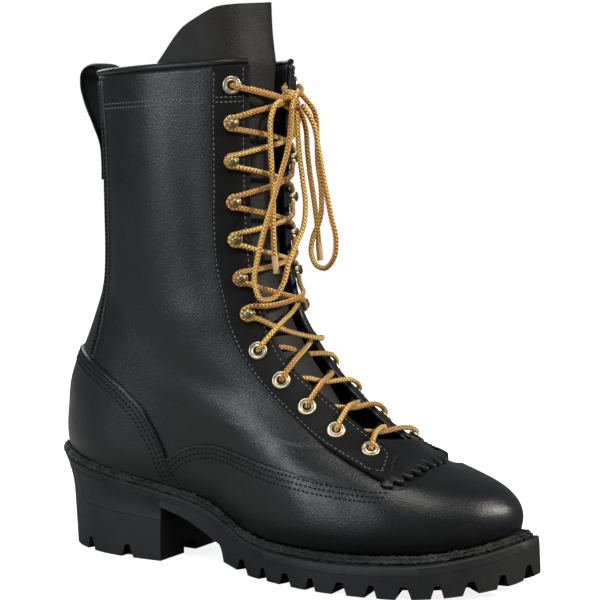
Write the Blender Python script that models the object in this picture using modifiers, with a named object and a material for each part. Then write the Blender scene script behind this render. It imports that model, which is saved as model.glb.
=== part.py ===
"""Wildland fire boot for the right foot: a ten-inch lace-up boot on a lugged sole with a high heel.

Sizes are millimetres. Along x they are counted from the back of the heel to the toe, y is negative
on the outer side of the foot and positive on the inner side, and z is counted up from the floor.
The part's origin lies on the floor under the middle of the heel.
"""

import math
from collections import namedtuple

import bmesh
import bpy
import numpy as np
from mathutils import Matrix, Vector

MM = 0.001
HEEL_CENTRE = 48.0

# Leather, rubber and lace, and the clearance kept between pieces that touch
CLEAR = 0.3
SOLE_GAP = 0.6
WALL = 2.4
SKIN_GAP = 0.4
OVERLAY = 1.6
WELT_THICK = 4.2
MIDSOLE_THICK = 5.0
INSOLE_ABOVE_WELT = 2.4
OVERLAY_ABOVE_WELT = 0.7
TONGUE_THICK = 2.0
TONGUE_GAP = 1.0
TONGUE_PRESSED_IN = 2.2
KILTIE_GAP = 2.9
KILTIE_THICK = 1.8
BEAD_RADIUS = 2.5
BEAD_INSIDE = 0.4
LACE_RADIUS = 2.0

# Sole lines, as (x, z): the top of the welt, the roots of the lugs and the lugs' own ends
FEATHER_LINE = ((-5, 57.5), (45, 54), (90, 46.5), (118, 40.5), (136, 33), (152, 26), (175, 23.5),
                (215, 24), (260, 26), (290, 31), (312, 38))
LUG_ROOT_LINE = ((90, 32.5), (105, 27.5), (119, 20.5), (133, 13.5), (146, 9.5), (160, 7), (250, 7),
                 (275, 8.5), (293, 11), (306, 14), (313, 17))
TREAD_LINE = ((133, 5), (146, 1.8), (160, 0), (250, 0), (275, 1.5), (293, 4), (306, 6.8), (313, 9.8))
LIFT_SEAM_LINE = ((0, 30.3), (100, 23.7))
BREAST = 89.5
OUTSOLE_REAR = 89.8
FIRST_LUG = 133.0

# Plan outlines of the sole: ends, half-widths at four shares of the length, and sideways swing
SHARES = (0.0, 0.12, 0.40, 0.68, 0.90, 1.0)
Outline = namedtuple("Outline", "back front heel waist ball toe ball_swing toe_swing")
WELT_TOP = Outline(0.5, 310, 36, 33.5, 51, 40, -3, 6)
WELT_FOOT = Outline(2.0, 310.5, 35.4, 33.3, 51.4, 40.3, -3, 6)
MIDSOLE_FOOT = Outline(4.5, 311.5, 34.6, 33, 52, 41, -3, 6)
TREAD = Outline(6.0, 312.5, 34, 32.5, 52, 41, -3, 6)
STACK_FOOT = Outline(9.0, 300, 33, 32.6, 50, 40, -3, 6)
HEEL_FLOOR = Outline(11.0, 300, 34, 33, 50, 40, -3, 6)
SEAT = Outline(8.5, 302, 29.5, 27.5, 43, 33, -3, 5)
RECESS = Outline(100, 284, 14, 16, 24, 15, -3, 3)

# Sections of the upper from the welt (level 0) to the topline (level 11): the ring's back and front
# points, how far it follows the dip of the welt, and the same half-widths and swings as above
Section = namedtuple("Section", "back_x back_z front_x front_z sag heel waist ball toe ball_swing toe_swing")
SECTIONS = (
    Section(8.5, 57.9, 302, 35.8, 1.00, 29.5, 27.5, 43, 33, -3, 5),
    Section(7.5, 72, 305, 45, 0.95, 32, 31, 47, 37, -3, 5),
    Section(8.5, 86, 300, 54, 0.75, 32, 33, 46, 37, -3, 5),
    Section(10, 100, 287, 61.5, 0.50, 31, 35, 43, 34, -2, 4),
    Section(15, 114, 257, 70, 0.30, 30, 36, 39, 29, -1, 2),
    Section(21.5, 127, 223, 87, 0.12, 29, 37.5, 37, 26, 0, 1),
    Section(29, 144, 193, 112, 0.04, 28, 38.5, 37, 25, 0, 0),
    Section(35, 160, 171, 139, 0, 27.5, 39, 38, 26, 0, 0),
    Section(37, 178, 160, 169, 0, 28, 40, 39, 28, 0, 0),
    Section(36.5, 206, 155, 208, 0, 29, 41.5, 41, 30, 0, 0),
    Section(35, 245, 155, 250, 0, 30, 43.5, 43, 32, 0, 0),
    Section(31, 280.5, 158, 288.5, 0, 30.5, 45, 44, 33, 0, 0),
)
TOPLINE = len(SECTIONS) - 1

# The throat, as (level, half-angle of the opening), and the levels of the upper's rings
THROAT = ((4.1, 0.0), (4.4, 0.16), (5, 0.27), (6, 0.34), (8, 0.42), (10, 0.48), (11, 0.53))
UPPER_LEVELS = (0, 0.8, 1.6, 2.4, 3.2, 4.1, 4.4, 5, 5.7, 6.4, 7.1, 7.8, 8.8, 9.9, 11)
UPPER_COLUMNS = 28

# Side-view outlines, as (x, z), of the leather that is laid on the upper
COUNTER_EDGE = ((20, 123.5), (41, 116), (68, 101.7), (80, 88), (87.3, 73.8), (92, 62), (96, 49))
VAMP_EDGE = ((97.2, 62.6), (106, 68), (119, 72), (131.5, 72.7), (150, 70), (169, 66.4), (186, 63.8),
             (204.5, 61.7), (224, 60.2), (242.4, 57.4), (249.5, 63.5), (253, 74))
EYESTAY_EDGE = ((131, 300), (128.5, 219), (128.5, 196), (129.5, 177), (133, 158), (139.5, 137),
                (149.5, 119), (161, 106), (177, 93), (200, 78.5), (213, 73), (237, 64.5))
BACKSTAY_EDGE = ((41.8, 118.6), (45, 130), (48.8, 154), (49, 193), (45, 240), (41, 290))

# Rows of lace holes up the facing: level, angle from the front, and what is set there
Row = namedtuple("Row", "level angle kind")
ROWS = (
    Row(4.26, 0.64, "eyelet"), Row(4.73, 0.73, "eyelet"), Row(5.24, 0.79, "eyelet"),
    Row(5.80, 0.83, "eyelet"), Row(6.44, 0.86, "eyelet"),
    Row(7.26, 0.77, "hook"), Row(7.97, 0.74, "hook"), Row(8.58, 0.73, "hook"),
    Row(9.12, 0.71, "hook"), Row(9.68, 0.72, "hook"), Row(10.19, 0.72, "hook"),
    Row(10.77, 0.73, "eyelet"),
)
SIDES = {"lateral": -1, "medial": 1}

# Half sections of the hardware, as (radius, height above its seat), turned about the hole's axis
EYELET_SECTION = ((2.3, 1.1), (3.6, 1.5), (5.25, 0.0), (2.3, 0.0))
HOOK_SECTION = ((0, 5.6), (3.3, 4.7), (1.5, 3.6), (1.5, 0.9), (4.2, 0.0), (0, 0.0))
LACE_HEIGHT = SKIN_GAP + OVERLAY + CLEAR + LACE_RADIUS + 0.2
LACE_ARCH = 1.5
LACE_OVER_EDGE = 1.05
LACE_BESIDE_HOLE = 8.8
LACE_APART = 2.7
HARDWARE_GAP = 0.7
HARDWARE_STEPS = 8

# Lugs, as widths of the notches between them round the edge of the sole
LUG_PITCH = 18.6
NOTCH_WIDTHS = (8.5, 6.0)
NOTCH_DEPTH = 24.0
NOTCH_OUTSIDE = 6.0
CENTRE_LUGS = (160, 182, 204, 226, 248)
HEEL_NOTCHES = (35.0, 66.0)
HEEL_NOTCH_WIDTH = 5.0
HEEL_NOTCH_ROOT = 7.5
HEEL_NOTCH_DEPTH = 15.0
HEEL_GROOVE_START = 62.0
HEEL_GROOVE_ROOT = 6.0

# Pull loop, as the (x, z) line of its strap over the back of the topline
PULL_LOOP_LINE = ((31.9, 222), (31.2, 232), (25.5, 243), (18, 257), (14.2, 270), (13.6, 282), (16.5, 289),
                  (23, 291.4), (32, 290.6), (37.3, 287), (39.4, 280), (39.9, 268), (40.4, 257))
PULL_LOOP_WIDTH = 20.0
PULL_LOOP_THICK = 2.6

# Top of the tongue, as (angle from the front, z), and how far it leans back above the topline
TONGUE_WIDTH = ((4.0, 0.50), (5, 0.75), (7, 1.05), (9, 1.35), (11, 1.56))
TONGUE_TOP = ((0, 325.5), (0.8, 323), (1.21, 313), (1.56, 291))
TONGUE_LEAN = 0.09

# The bow: a knot, two loops and two ends, as routes of the lace's middle line
KNOT = (161.3, -4, 270)
KNOT_RADII = (5.5, 8, 6.5)
LOOP_LATERAL = ((165.2, -8.8, 264.6), (166, -12, 252), (165.5, -15, 240), (164, -20, 227), (163, -26, 214),
                (161.5, -33, 198), (159.5, -37.5, 182), (158.5, -39, 167), (161.5, -37, 158.5),
                (165.5, -30, 159), (168.5, -25, 166), (169, -19, 178), (169, -10.5, 188), (170, -4, 198),
                (170, -1.5, 210), (168.5, -2, 224), (167, -3.5, 240), (166.4, -4.5, 254),
                (165.6, -4.2, 263.2))
LOOP_MEDIAL = ((163.5, 3.8, 274), (170, 9, 263), (170.5, 11, 248), (171, 11, 234), (173.5, 10.5, 219),
               (173, 10.5, 202), (168, 10.5, 190), (167.5, 9.5, 182), (171.5, 8.5, 175), (178, 7, 173.5),
               (184.5, 6, 180), (186, 5.5, 190), (183, 5, 204), (178.5, 4.5, 225), (175.5, 4, 241),
               (172.5, 3.4, 256), (166.3, 1.2, 267.5))
END_LATERAL = ((160.6, -12.7, 269.5), (160.4, -18.5, 267.5), (159.5, -22.5, 260), (158.8, -22, 248),
               (158.6, -20.5, 234), (158.6, -18.6, 219), (159, -19.2, 203), (160.6, -21.2, 187),
               (162.6, -21.8, 172))
END_MEDIAL = ((160, 4.0, 267.4), (160, 11, 262.5), (160.8, 15.2, 253), (161.2, 16.2, 241), (162.5, 16.8, 228),
              (165, 17, 213), (167, 17, 200), (168.5, 16.5, 188), (170, 16, 177))
ROUTE_STEP = 11.0

# Colours as (red, green, blue, roughness, metallic)
LEATHER = (0.020, 0.022, 0.025, 0.42, 0.0)
RUBBER = (0.030, 0.031, 0.033, 0.75, 0.0)
WELT_LEATHER = (0.022, 0.022, 0.023, 0.8, 0.0)
INSOLE_LEATHER = (0.30, 0.19, 0.11, 0.7, 0.0)
ANTIQUE_BRASS = (0.42, 0.33, 0.17, 0.35, 1.0)
PALE_BRASS = (0.72, 0.63, 0.44, 0.3, 1.0)
LACE_YARN = (0.72, 0.45, 0.10, 0.8, 0.0)


def through(at, table):
    """Smooth curve through a table of (position, value) rows, with no overshoot, level beyond its ends."""
    knots, values = np.asarray(table, float).T
    steep = np.diff(values) / np.diff(knots)
    before, after = steep[:-1], steep[1:]
    same_way = before * after > 0
    inner = np.where(same_way, 2 * before * after / np.where(same_way, before + after, 1), 0)
    return hermite(at, knots, values, np.r_[steep[0], inner, steep[-1]])


def hermite(at, knots, values, slopes=None):
    """Cubic through values at the knots, with the last axis of values along the knots."""
    at = np.clip(np.asarray(at, float), knots[0], knots[-1])
    if slopes is None:
        slopes = np.gradient(values, knots, axis=-1)
    cell = np.clip(np.searchsorted(knots, at) - 1, 0, len(knots) - 2)
    width = knots[cell + 1] - knots[cell]
    t = (at - knots[cell]) / width

    def pick(table, index):
        if table.ndim == 1:
            return table[index]
        return np.take_along_axis(table, index[..., None], -1)[..., 0]

    return (
        (1 + 2 * t) * (1 - t) ** 2 * pick(values, cell)
        + t * (1 - t) ** 2 * width * pick(slopes, cell)
        + t * t * (3 - 2 * t) * pick(values, cell + 1)
        + t * t * (t - 1) * width * pick(slopes, cell + 1)
    )


def feather(x):
    return through(x, FEATHER_LINE)


def lug_root(x):
    return through(x, LUG_ROOT_LINE)


def tread(x):
    return through(x, TREAD_LINE)


def half_width(share, heel, waist, ball, toe):
    """Half-width at a share of the length. Its square is smooth, so both ends are round."""
    share, heel, waist, ball, toe = np.broadcast_arrays(share, heel, waist, ball, toe)
    squares = np.stack([0 * heel, heel**2, waist**2, ball**2, toe**2, 0 * toe], -1).astype(float)
    return np.sqrt(np.maximum(hermite(share, np.array(SHARES), squares), 0))


def swing(share, ball_swing, toe_swing):
    """Sideways shift of the middle line: out at the ball, in at the toe."""
    ball_share, spread = SHARES[3], 0.2
    beyond = np.clip((share - ball_share) / (1 - ball_share), 0, 1)
    return ball_swing * np.exp(-(((share - ball_share) / spread) ** 2)) + toe_swing * beyond**1.5


def edges_at(row, x):
    """Outer and inner edge (y) of a sole outline at x."""
    share = np.clip((x - row.back) / (row.front - row.back), 0, 1)
    half = half_width(share, row.heel, row.waist, row.ball, row.toe)
    middle = swing(share, row.ball_swing, row.toe_swing)
    return middle - half, middle + half


def section_at(level):
    columns = np.array(SECTIONS, float).T
    levels = np.arange(len(SECTIONS), dtype=float)
    return Section(*(hermite(level, levels, column) for column in columns))


def upper_point(level, angle):
    """Outer surface of the upper. Angle 0 is the front, pi the back, and positive is the inner side."""
    level, angle = np.broadcast_arrays(np.asarray(level, float), np.asarray(angle, float))
    ring = section_at(level)
    share = (1 + np.cos(angle)) / 2
    x = ring.back_x + (ring.front_x - ring.back_x) * share
    half = half_width(share, ring.heel, ring.waist, ring.ball, ring.toe)
    y = swing(share, ring.ball_swing, ring.toe_swing) + np.sign(np.sin(angle)) * half
    straight = ring.back_z + (ring.front_z - ring.back_z) * share
    back, front = feather(ring.back_x), feather(ring.front_x)
    z = straight + ring.sag * (feather(x) - back - (front - back) * share)
    return np.stack([x, y, z], -1)


def upper_normal(level, angle):
    step = 0.01
    along = upper_point(np.asarray(level) + step, angle) - upper_point(np.asarray(level) - step, angle)
    around = upper_point(level, angle + step) - upper_point(level, angle - step)
    normal = np.cross(around, along)
    return normal / np.linalg.norm(normal, axis=-1, keepdims=True)


def raised_point(level, angle, height):
    """A point over the upper, or under it where the height is negative."""
    level = np.minimum(np.asarray(level, float), TOPLINE - 0.02)
    return upper_point(level, angle) + np.asarray(height)[..., None] * upper_normal(level, angle)


def unit(vector):
    return np.asarray(vector, float) / np.linalg.norm(vector)


def in_metres(points):
    return (np.asarray(points, float) - (HEEL_CENTRE, 0, 0)) * MM


def clear_scene():
    for obj in list(bpy.data.objects):
        bpy.data.objects.remove(obj, do_unlink=True)


def new_collection(name):
    collection = bpy.data.collections.new(name)
    bpy.context.scene.collection.children.link(collection)
    return collection


clear_scene()
BOOT = new_collection("wildland_fire_boot")
CUTTERS = new_collection("cutters")


def finish(obj, look):
    """Gives the object a material of its own, smooth shading and a place among the boot's pieces."""
    material = bpy.data.materials.new(obj.name + "_finish")
    material.use_nodes = True
    shader = material.node_tree.nodes["Principled BSDF"]
    shader.inputs["Base Color"].default_value = (*look[:3], 1)
    shader.inputs["Roughness"].default_value = look[3]
    shader.inputs["Metallic"].default_value = look[4]
    obj.data.materials.append(material)
    BOOT.objects.link(obj)
    return obj


def as_cutter(obj, collection=None):
    obj.hide_render = True
    obj.display_type = "WIRE"
    (collection or CUTTERS).objects.link(obj)
    return obj


def mesh_object(name, points, faces, smooth=True):
    """A mesh object from points in millimetres. Points that coincide are merged."""
    mesh = bpy.data.meshes.new(name)
    mesh.from_pydata(in_metres(points).tolist(), [], faces)
    work = bmesh.new()
    work.from_mesh(mesh)
    bmesh.ops.remove_doubles(work, verts=work.verts, dist=1e-6)
    bmesh.ops.recalc_face_normals(work, faces=work.faces)
    work.to_mesh(mesh)
    work.free()
    if smooth:
        mesh.shade_smooth()
        mesh.set_sharp_from_angle(angle=math.radians(35))
    return bpy.data.objects.new(name, mesh)


def grid_faces(rows, columns):
    cells = ((r, c) for r in range(rows - 1) for c in range(columns - 1))
    return [(r * columns + c, r * columns + c + 1, (r + 1) * columns + c + 1, (r + 1) * columns + c)
            for r, c in cells]


def loft(name, rings):
    """A closed solid through rings of points, with its first and last ring capped."""
    count, around = rings.shape[:2]
    faces = []
    for ring in range(count - 1):
        for k in range(around):
            after = (k + 1) % around
            faces.append((ring * around + k, ring * around + after,
                          (ring + 1) * around + after, (ring + 1) * around + k))
    faces.append(tuple(range(around)))
    faces.append(tuple((count - 1) * around + k for k in range(around)))
    return mesh_object(name, rings.reshape(-1, 3), faces)


def slab(name, top, top_z, foot, foot_z, start=None, end=None, stations=34):
    """A sole plate between two outlines, round at the ends and cut square where start or end is given."""
    turn = np.linspace(0, 1, stations)
    spread = {
        (True, True): (1 - np.cos(math.pi * turn)) / 2,
        (True, False): 1 - np.cos(math.pi / 2 * turn),
        (False, True): np.sin(math.pi / 2 * turn),
        (False, False): turn,
    }[start is None, end is None]
    corners = []
    for row, height in ((top, top_z), (foot, foot_z)):
        low = row.back if start is None else start
        high = row.front if end is None else end
        x = low + (high - low) * spread
        outer, inner = edges_at(row, x)
        z = height(x) * np.ones_like(x)
        corners.append(np.stack([x, outer, z], -1))
        corners.append(np.stack([x, inner, z], -1))
    return loft(name, np.stack([corners[0], corners[1], corners[3], corners[2]], 1))


def prism(name, outline, axis, low, high):
    """A solid from a flat outline, drawn out between low and high along axis 1 (y) or 2 (z)."""
    rings = np.empty((2, len(outline), 3))
    flat = [k for k in range(3) if k != axis]
    rings[:, :, flat] = np.asarray(outline, float)
    rings[0, :, axis] = low
    rings[1, :, axis] = high
    return loft(name, rings)


def boolean(obj, operation, other):
    """Adds a Boolean with one object or with every object of a collection."""
    modifier = obj.modifiers.new(operation.lower(), "BOOLEAN")
    modifier.operation = operation
    modifier.solver = "EXACT"
    if isinstance(other, bpy.types.Collection):
        modifier.operand_type = "COLLECTION"
        modifier.collection = other
    else:
        modifier.object = other


def solidify(obj, thickness, offset):
    modifier = obj.modifiers.new("thickness", "SOLIDIFY")
    modifier.thickness = thickness * MM
    modifier.offset = offset
    modifier.use_even_offset = True


def smooth_outline(points, per_span=3):
    """The points of a hand-set edge, with points of a smooth curve between them."""
    points = np.asarray(points, float)
    steps = np.r_[0, np.cumsum(np.linalg.norm(np.diff(points, axis=0), axis=1))]
    at = np.concatenate([np.linspace(a, b, per_span, endpoint=False) for a, b in zip(steps, steps[1:])])
    at = np.r_[at, steps[-1]]
    return np.stack([hermite(at, steps, column) for column in points.T], -1)


def throat_angle(level):
    return np.where(level > THROAT[0][0], through(level, THROAT), 0.0)


def upper_grid():
    """Rows of points on the outer surface, from one edge of the throat round the back to the other."""
    level = np.array(UPPER_LEVELS)[:, None]
    opening = throat_angle(level)
    turn = np.linspace(0, 1, UPPER_COLUMNS + 1)[None, :]
    angle = opening + (2 * math.pi - 2 * opening) * turn
    return upper_point(level, angle)


def upper_surface(name):
    points = upper_grid()
    rows, columns = points.shape[:2]
    obj = mesh_object(name, points.reshape(-1, 3), grid_faces(rows, columns))
    turn_outward(obj.data)
    split_quads(obj.data)
    return obj


def split_quads(mesh):
    """Cuts each face the same way, so that skins raised from one surface stay parallel to it."""
    work = bmesh.new()
    work.from_mesh(mesh)
    bmesh.ops.triangulate(work, faces=work.faces, quad_method="FIXED")
    work.to_mesh(mesh)
    work.free()


def turn_outward(mesh):
    """Flips an open shell whose normals point at the middle of the boot's shaft or foot."""
    work = bmesh.new()
    work.from_mesh(mesh)
    middle = sum((v.co for v in work.verts), Vector()) / len(work.verts)
    facing = sum(f.normal.dot(f.calc_center_median() - middle) * f.calc_area() for f in work.faces)
    if facing < 0:
        bmesh.ops.reverse_faces(work, faces=work.faces)
    work.to_mesh(mesh)
    work.free()


def overlay(name, outline, low_y=-80, high_y=80):
    """Leather laid on the upper: a raised skin of its surface, kept where a side-view outline holds it."""
    skin = upper_surface(name)
    raise_skin(skin, SKIN_GAP)
    solidify(skin, OVERLAY, 1)
    cutter = as_cutter(prism(name + "_cutter", outline, 1, low_y, high_y))
    boolean(skin, "INTERSECT", cutter)
    return finish(skin, LEATHER)


def raise_skin(obj, height):
    modifier = obj.modifiers.new("raise", "DISPLACE")
    modifier.strength = height * MM
    modifier.mid_level = 0
    modifier.direction = "NORMAL"


def notch(name, collection, row, x, side, width, depth, root, floor):
    """A tapered cutter across the edge of the tread at x, square to the outline there."""
    nearby = np.array([x - 0.5, x, x + 0.5])
    y = edges_at(row, nearby)[0 if side < 0 else 1]
    along = unit((1.0, y[2] - y[0]))
    outward = np.array([along[1], -along[0]]) * (1 if side < 0 else -1)
    return wedge(name, collection, np.array([x, y[1]]), along, outward, width, depth, root, floor)


def wedge(name, collection, place, along, outward, width, depth, root, floor):
    """A notch cutter: wider at the floor than at its root, and wider outside than inside."""
    taper = 0.22
    corners = []
    for reach in (-depth, NOTCH_OUTSIDE):
        for height, half in ((floor, width / 2 * (1 + taper)), (root, width / 2 * (1 - taper))):
            for sign in (-1, 1) if height is floor else (1, -1):
                spot = place + outward * reach + along * half * sign
                corners.append((*spot, float(height(spot[0]))))
    return as_cutter(loft(name, np.array(corners).reshape(2, 4, 3)), collection)


def edge_places(row, start, pitch):
    """Points and directions at even steps round the toe, from start on the outer side to the inner."""
    turn = np.linspace(0, 1, 400)
    x = start + (row.front - start) * np.sin(math.pi / 2 * turn)
    outer, inner = edges_at(row, x)
    edge = np.concatenate([np.stack([x, outer], -1), np.stack([x, inner], -1)[-2::-1]])
    length = np.r_[0, np.cumsum(np.linalg.norm(np.diff(edge, axis=0), axis=1))]
    count = int(length[-1] / pitch)
    spare = (length[-1] - (count - 1) * pitch) / 2
    for k in range(count):
        at = spare + k * pitch
        spot = np.array([np.interp(at, length, edge[:, c]) for c in (0, 1)])
        ahead = np.array([np.interp(at + 1, length, edge[:, c]) for c in (0, 1)])
        along = unit(ahead - spot)
        yield spot, along, np.array([along[1], -along[0]])


def below_floor(x):
    return np.full_like(np.asarray(x, float), -6.0)


def make_outsole():
    """Rubber plate from the heel's breast to the toe, with lugs left standing between notches."""
    def top(x):
        return feather(x) - WELT_THICK - MIDSOLE_THICK - CLEAR - SOLE_GAP

    outsole = slab("outsole", MIDSOLE_FOOT, top, TREAD, tread, start=OUTSOLE_REAR)
    wide = Outline(-20, 340, 90, 90, 90, 90, 0, 0)
    shank = slab("shank_cutter", wide, lug_root, wide, below_floor, start=70, end=FIRST_LUG, stations=12)
    boolean(outsole, "DIFFERENCE", as_cutter(shank))
    recess = slab("recess_cutter", RECESS, lug_root, RECESS, below_floor, start=146, stations=14)
    boolean(outsole, "DIFFERENCE", as_cutter(recess))
    notches = new_collection("lug_notches")
    for k, (spot, along, outward) in enumerate(edge_places(TREAD, FIRST_LUG, LUG_PITCH)):
        width = NOTCH_WIDTHS[k % len(NOTCH_WIDTHS)]
        wedge(f"lug_notch_{k}", notches, spot, along, outward, width, NOTCH_DEPTH, lug_root, below_floor)
    boolean(outsole, "DIFFERENCE", notches)
    lugs = new_collection("centre_lugs")
    for x in CENTRE_LUGS:
        as_cutter(centre_lug(x), lugs)
    boolean(outsole, "UNION", lugs)
    return finish(outsole, RUBBER)


def centre_lug(x):
    """A cross that stands in the recess under the ball of the foot."""
    arm, thick, into_plate = 8.0, 3.4, 1.5
    middle = float(np.mean(edges_at(RECESS, np.array([float(x)]))))
    turns = ((arm, thick), (thick, thick), (thick, arm))
    quarter = np.array(turns)
    outline = np.concatenate([quarter, quarter[::-1] * (-1, 1), quarter * (-1, -1), quarter[::-1] * (1, -1)])
    return prism(f"centre_lug_{x}", outline + (x, middle), 2, float(tread(x)), float(lug_root(x)) + into_plate)


def make_midsole():
    def top(x):
        return feather(x) - WELT_THICK - CLEAR

    return finish(slab("midsole", WELT_FOOT, top, MIDSOLE_FOOT, lambda x: top(x) - MIDSOLE_THICK), RUBBER)


def make_welt():
    """Leather strip all round the sole, with the insole's place cut out of it."""
    welt = slab("welt", WELT_TOP, feather, WELT_FOOT, lambda x: feather(x) - WELT_THICK)
    hole = inset(SEAT, WALL + 0.2)
    cutter = slab("welt_cutter", hole, lambda x: feather(x) + 20, hole, lambda x: feather(x) - 20)
    boolean(welt, "DIFFERENCE", as_cutter(cutter))
    return finish(welt, WELT_LEATHER)


def inset(row, by):
    """The outline drawn in by a constant width."""
    return row._replace(back=row.back + by, front=row.front - by, heel=row.heel - by, waist=row.waist - by,
                        ball=row.ball - by, toe=row.toe - by)


def make_insole():
    """Insole board: it fills the welt's hole and closes the bottom of the upper."""
    board = inset(SEAT, WALL + 1.3)
    return finish(slab("insole", board, lambda x: feather(x) + INSOLE_ABOVE_WELT,
                       board, lambda x: feather(x) - WELT_THICK), INSOLE_LEATHER)


def lift_seam(x):
    return through(x, LIFT_SEAM_LINE)


def make_heel():
    """Heel block, drawn in below its flared top, and the rubber lift under it."""
    def top(x):
        return feather(x) - WELT_THICK - MIDSOLE_THICK - CLEAR - SOLE_GAP

    finish(slab("heel_stack", MIDSOLE_FOOT, top, STACK_FOOT, lift_seam, end=BREAST, stations=16), RUBBER)
    lift = slab("heel_lift", STACK_FOOT, lambda x: lift_seam(x) - CLEAR, HEEL_FLOOR, lambda x: 0 * x,
                end=BREAST, stations=16)
    notches = new_collection("heel_notches")
    for x in HEEL_NOTCHES:
        for name, side in SIDES.items():
            notch(f"heel_notch_{x:.0f}_{name}", notches, HEEL_FLOOR, x, side, HEEL_NOTCH_WIDTH, HEEL_NOTCH_DEPTH,
                  lambda x: HEEL_NOTCH_ROOT, below_floor)
    boolean(lift, "DIFFERENCE", notches)
    groove = ((HEEL_GROOVE_START, -8), (BREAST + 8, -6), (BREAST + 8, 6), (HEEL_GROOVE_START, 8))
    boolean(lift, "DIFFERENCE", as_cutter(prism("heel_groove_cutter", groove, 2, -6, HEEL_GROOVE_ROOT)))
    return finish(lift, RUBBER)


def make_upper():
    upper = upper_surface("upper")
    solidify(upper, WALL, -1)
    return finish(upper, LEATHER)


def welt_top(start, end, count):
    """The side-view line just above the welt, where an overlay's lower edge lies."""
    x = np.linspace(start, end, count)
    return np.stack([x, feather(x) + OVERLAY_ABOVE_WELT], -1)


def make_overlays():
    """Counter, vamp, backstay and the two eyestays."""
    counter = smooth_outline(COUNTER_EDGE, per_span=2)
    overlay("counter", [(-12, 125), *counter, *welt_top(96.5, -12, 6)])
    vamp = smooth_outline(VAMP_EDGE, per_span=2)
    overlay("vamp", [*vamp, (254, 100), (330, 100), *welt_top(330, 98.6, 16)])
    backstay = smooth_outline(BACKSTAY_EDGE, per_span=2)
    overlay("backstay", [(-12, 126.6), (20, 125.2), *backstay, (-12, 290)])
    eyestay = smooth_outline(EYESTAY_EDGE, per_span=2)
    front = [(240.5, 66), (241, 71), (238, 79), (238, 110), (200, 300)]
    overlay("eyestay_lateral", [*eyestay, *front], high_y=-3)
    overlay("eyestay_medial", [*eyestay, *front], low_y=3)


def tube(name, points, radius, resolution=2):
    """A round cord or bead along points in millimetres."""
    curve = bpy.data.curves.new(name, "CURVE")
    curve.dimensions = "3D"
    curve.bevel_depth = radius * MM
    curve.bevel_resolution = resolution
    curve.use_fill_caps = True
    spline = curve.splines.new("POLY")
    spline.points.add(len(points) - 1)
    for spot, place in zip(spline.points, in_metres(points)):
        spot.co = (*place, 1)
    return bpy.data.objects.new(name, curve)


def tube_mesh(name, points, radius):
    """The same tube as a welded mesh, for a Boolean."""
    curve = tube(name + "_line", points, radius, resolution=1)
    CUTTERS.objects.link(curve)
    graph = bpy.context.evaluated_depsgraph_get()
    mesh = bpy.data.meshes.new_from_object(curve.evaluated_get(graph))
    bpy.data.objects.remove(curve, do_unlink=True)
    work = bmesh.new()
    work.from_mesh(mesh)
    bmesh.ops.remove_doubles(work, verts=work.verts, dist=1e-6)
    work.to_mesh(mesh)
    work.free()
    mesh.shade_smooth()
    return bpy.data.objects.new(name, mesh)


def make_top_bead():
    """Rolled edge along the topline, from one side of the throat round to the other."""
    opening = float(throat_angle(TOPLINE))
    angle = np.linspace(opening + 0.02, 2 * math.pi - opening - 0.02, 31)
    middle = raised_point(TOPLINE, angle, np.full_like(angle, -BEAD_INSIDE))
    middle[:, 2] = upper_point(TOPLINE, angle)[:, 2] + BEAD_RADIUS + CLEAR
    return finish(tube("top_bead", middle, BEAD_RADIUS, resolution=1), LEATHER)


def make_pull_loop():
    """A strap from the back of the shaft up over the topline and down inside it."""
    line = smooth_outline(PULL_LOOP_LINE, per_span=2)
    rows = np.empty((2, len(line), 3))
    rows[:, :, [0, 2]] = line
    rows[0, :, 1] = -PULL_LOOP_WIDTH / 2
    rows[1, :, 1] = PULL_LOOP_WIDTH / 2
    loop = mesh_object("pull_loop", rows.reshape(-1, 3), grid_faces(2, len(line)))
    solidify(loop, PULL_LOOP_THICK, 0)
    return finish(loop, LEATHER)


def make_tongue():
    """Wide tongue inside the throat and the front of the shaft, standing above the topline."""
    levels = np.array([4.0, 4.5, 5.2, 6, 7, 8, 9, 10, TOPLINE])
    turn = np.linspace(-1, 1, 11)[None, :]
    angle = through(levels, TONGUE_WIDTH)[:, None] * turn
    sink = WALL + TONGUE_GAP + TONGUE_PRESSED_IN * np.exp(-((angle / 0.55) ** 2))
    rows = [*raised_point(levels[:, None], angle, -sink)]
    rim = rows[-1]
    rise = through(np.abs(angle[-1]), TONGUE_TOP) - rim[:, 2]
    for share in (0.5, 1.0):
        lean = np.stack([-TONGUE_LEAN * rise, 0 * rise, rise], -1)
        rows.append(rim + lean * share)
    points = np.array(rows)
    tongue = mesh_object("tongue", points.reshape(-1, 3), grid_faces(*points.shape[:2]))
    face_forward(tongue.data)
    solidify(tongue, TONGUE_THICK, -1)
    return finish(tongue, LEATHER)


def face_forward(mesh):
    """Flips an open sheet whose normals point back."""
    work = bmesh.new()
    work.from_mesh(mesh)
    if sum(f.normal.x * f.calc_area() for f in work.faces) < 0:
        bmesh.ops.reverse_faces(work, faces=work.faces)
    work.to_mesh(mesh)
    work.free()


def make_kiltie():
    """Fringed leather flap over the foot of the throat."""
    levels = np.linspace(2.7, 4.9, 7)[:, None]
    angle = np.linspace(-1.05, 1.05, 17)[None, :]
    points = upper_point(levels, angle)
    kiltie = mesh_object("kiltie", points.reshape(-1, 3), grid_faces(*points.shape[:2]))
    face_forward(kiltie.data)
    raise_skin(kiltie, KILTIE_GAP)
    solidify(kiltie, KILTIE_THICK, 1)
    boolean(kiltie, "INTERSECT", as_cutter(prism("kiltie_cutter", kiltie_outline(), 2, 30, 130)))
    return finish(kiltie, LEATHER)


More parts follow.
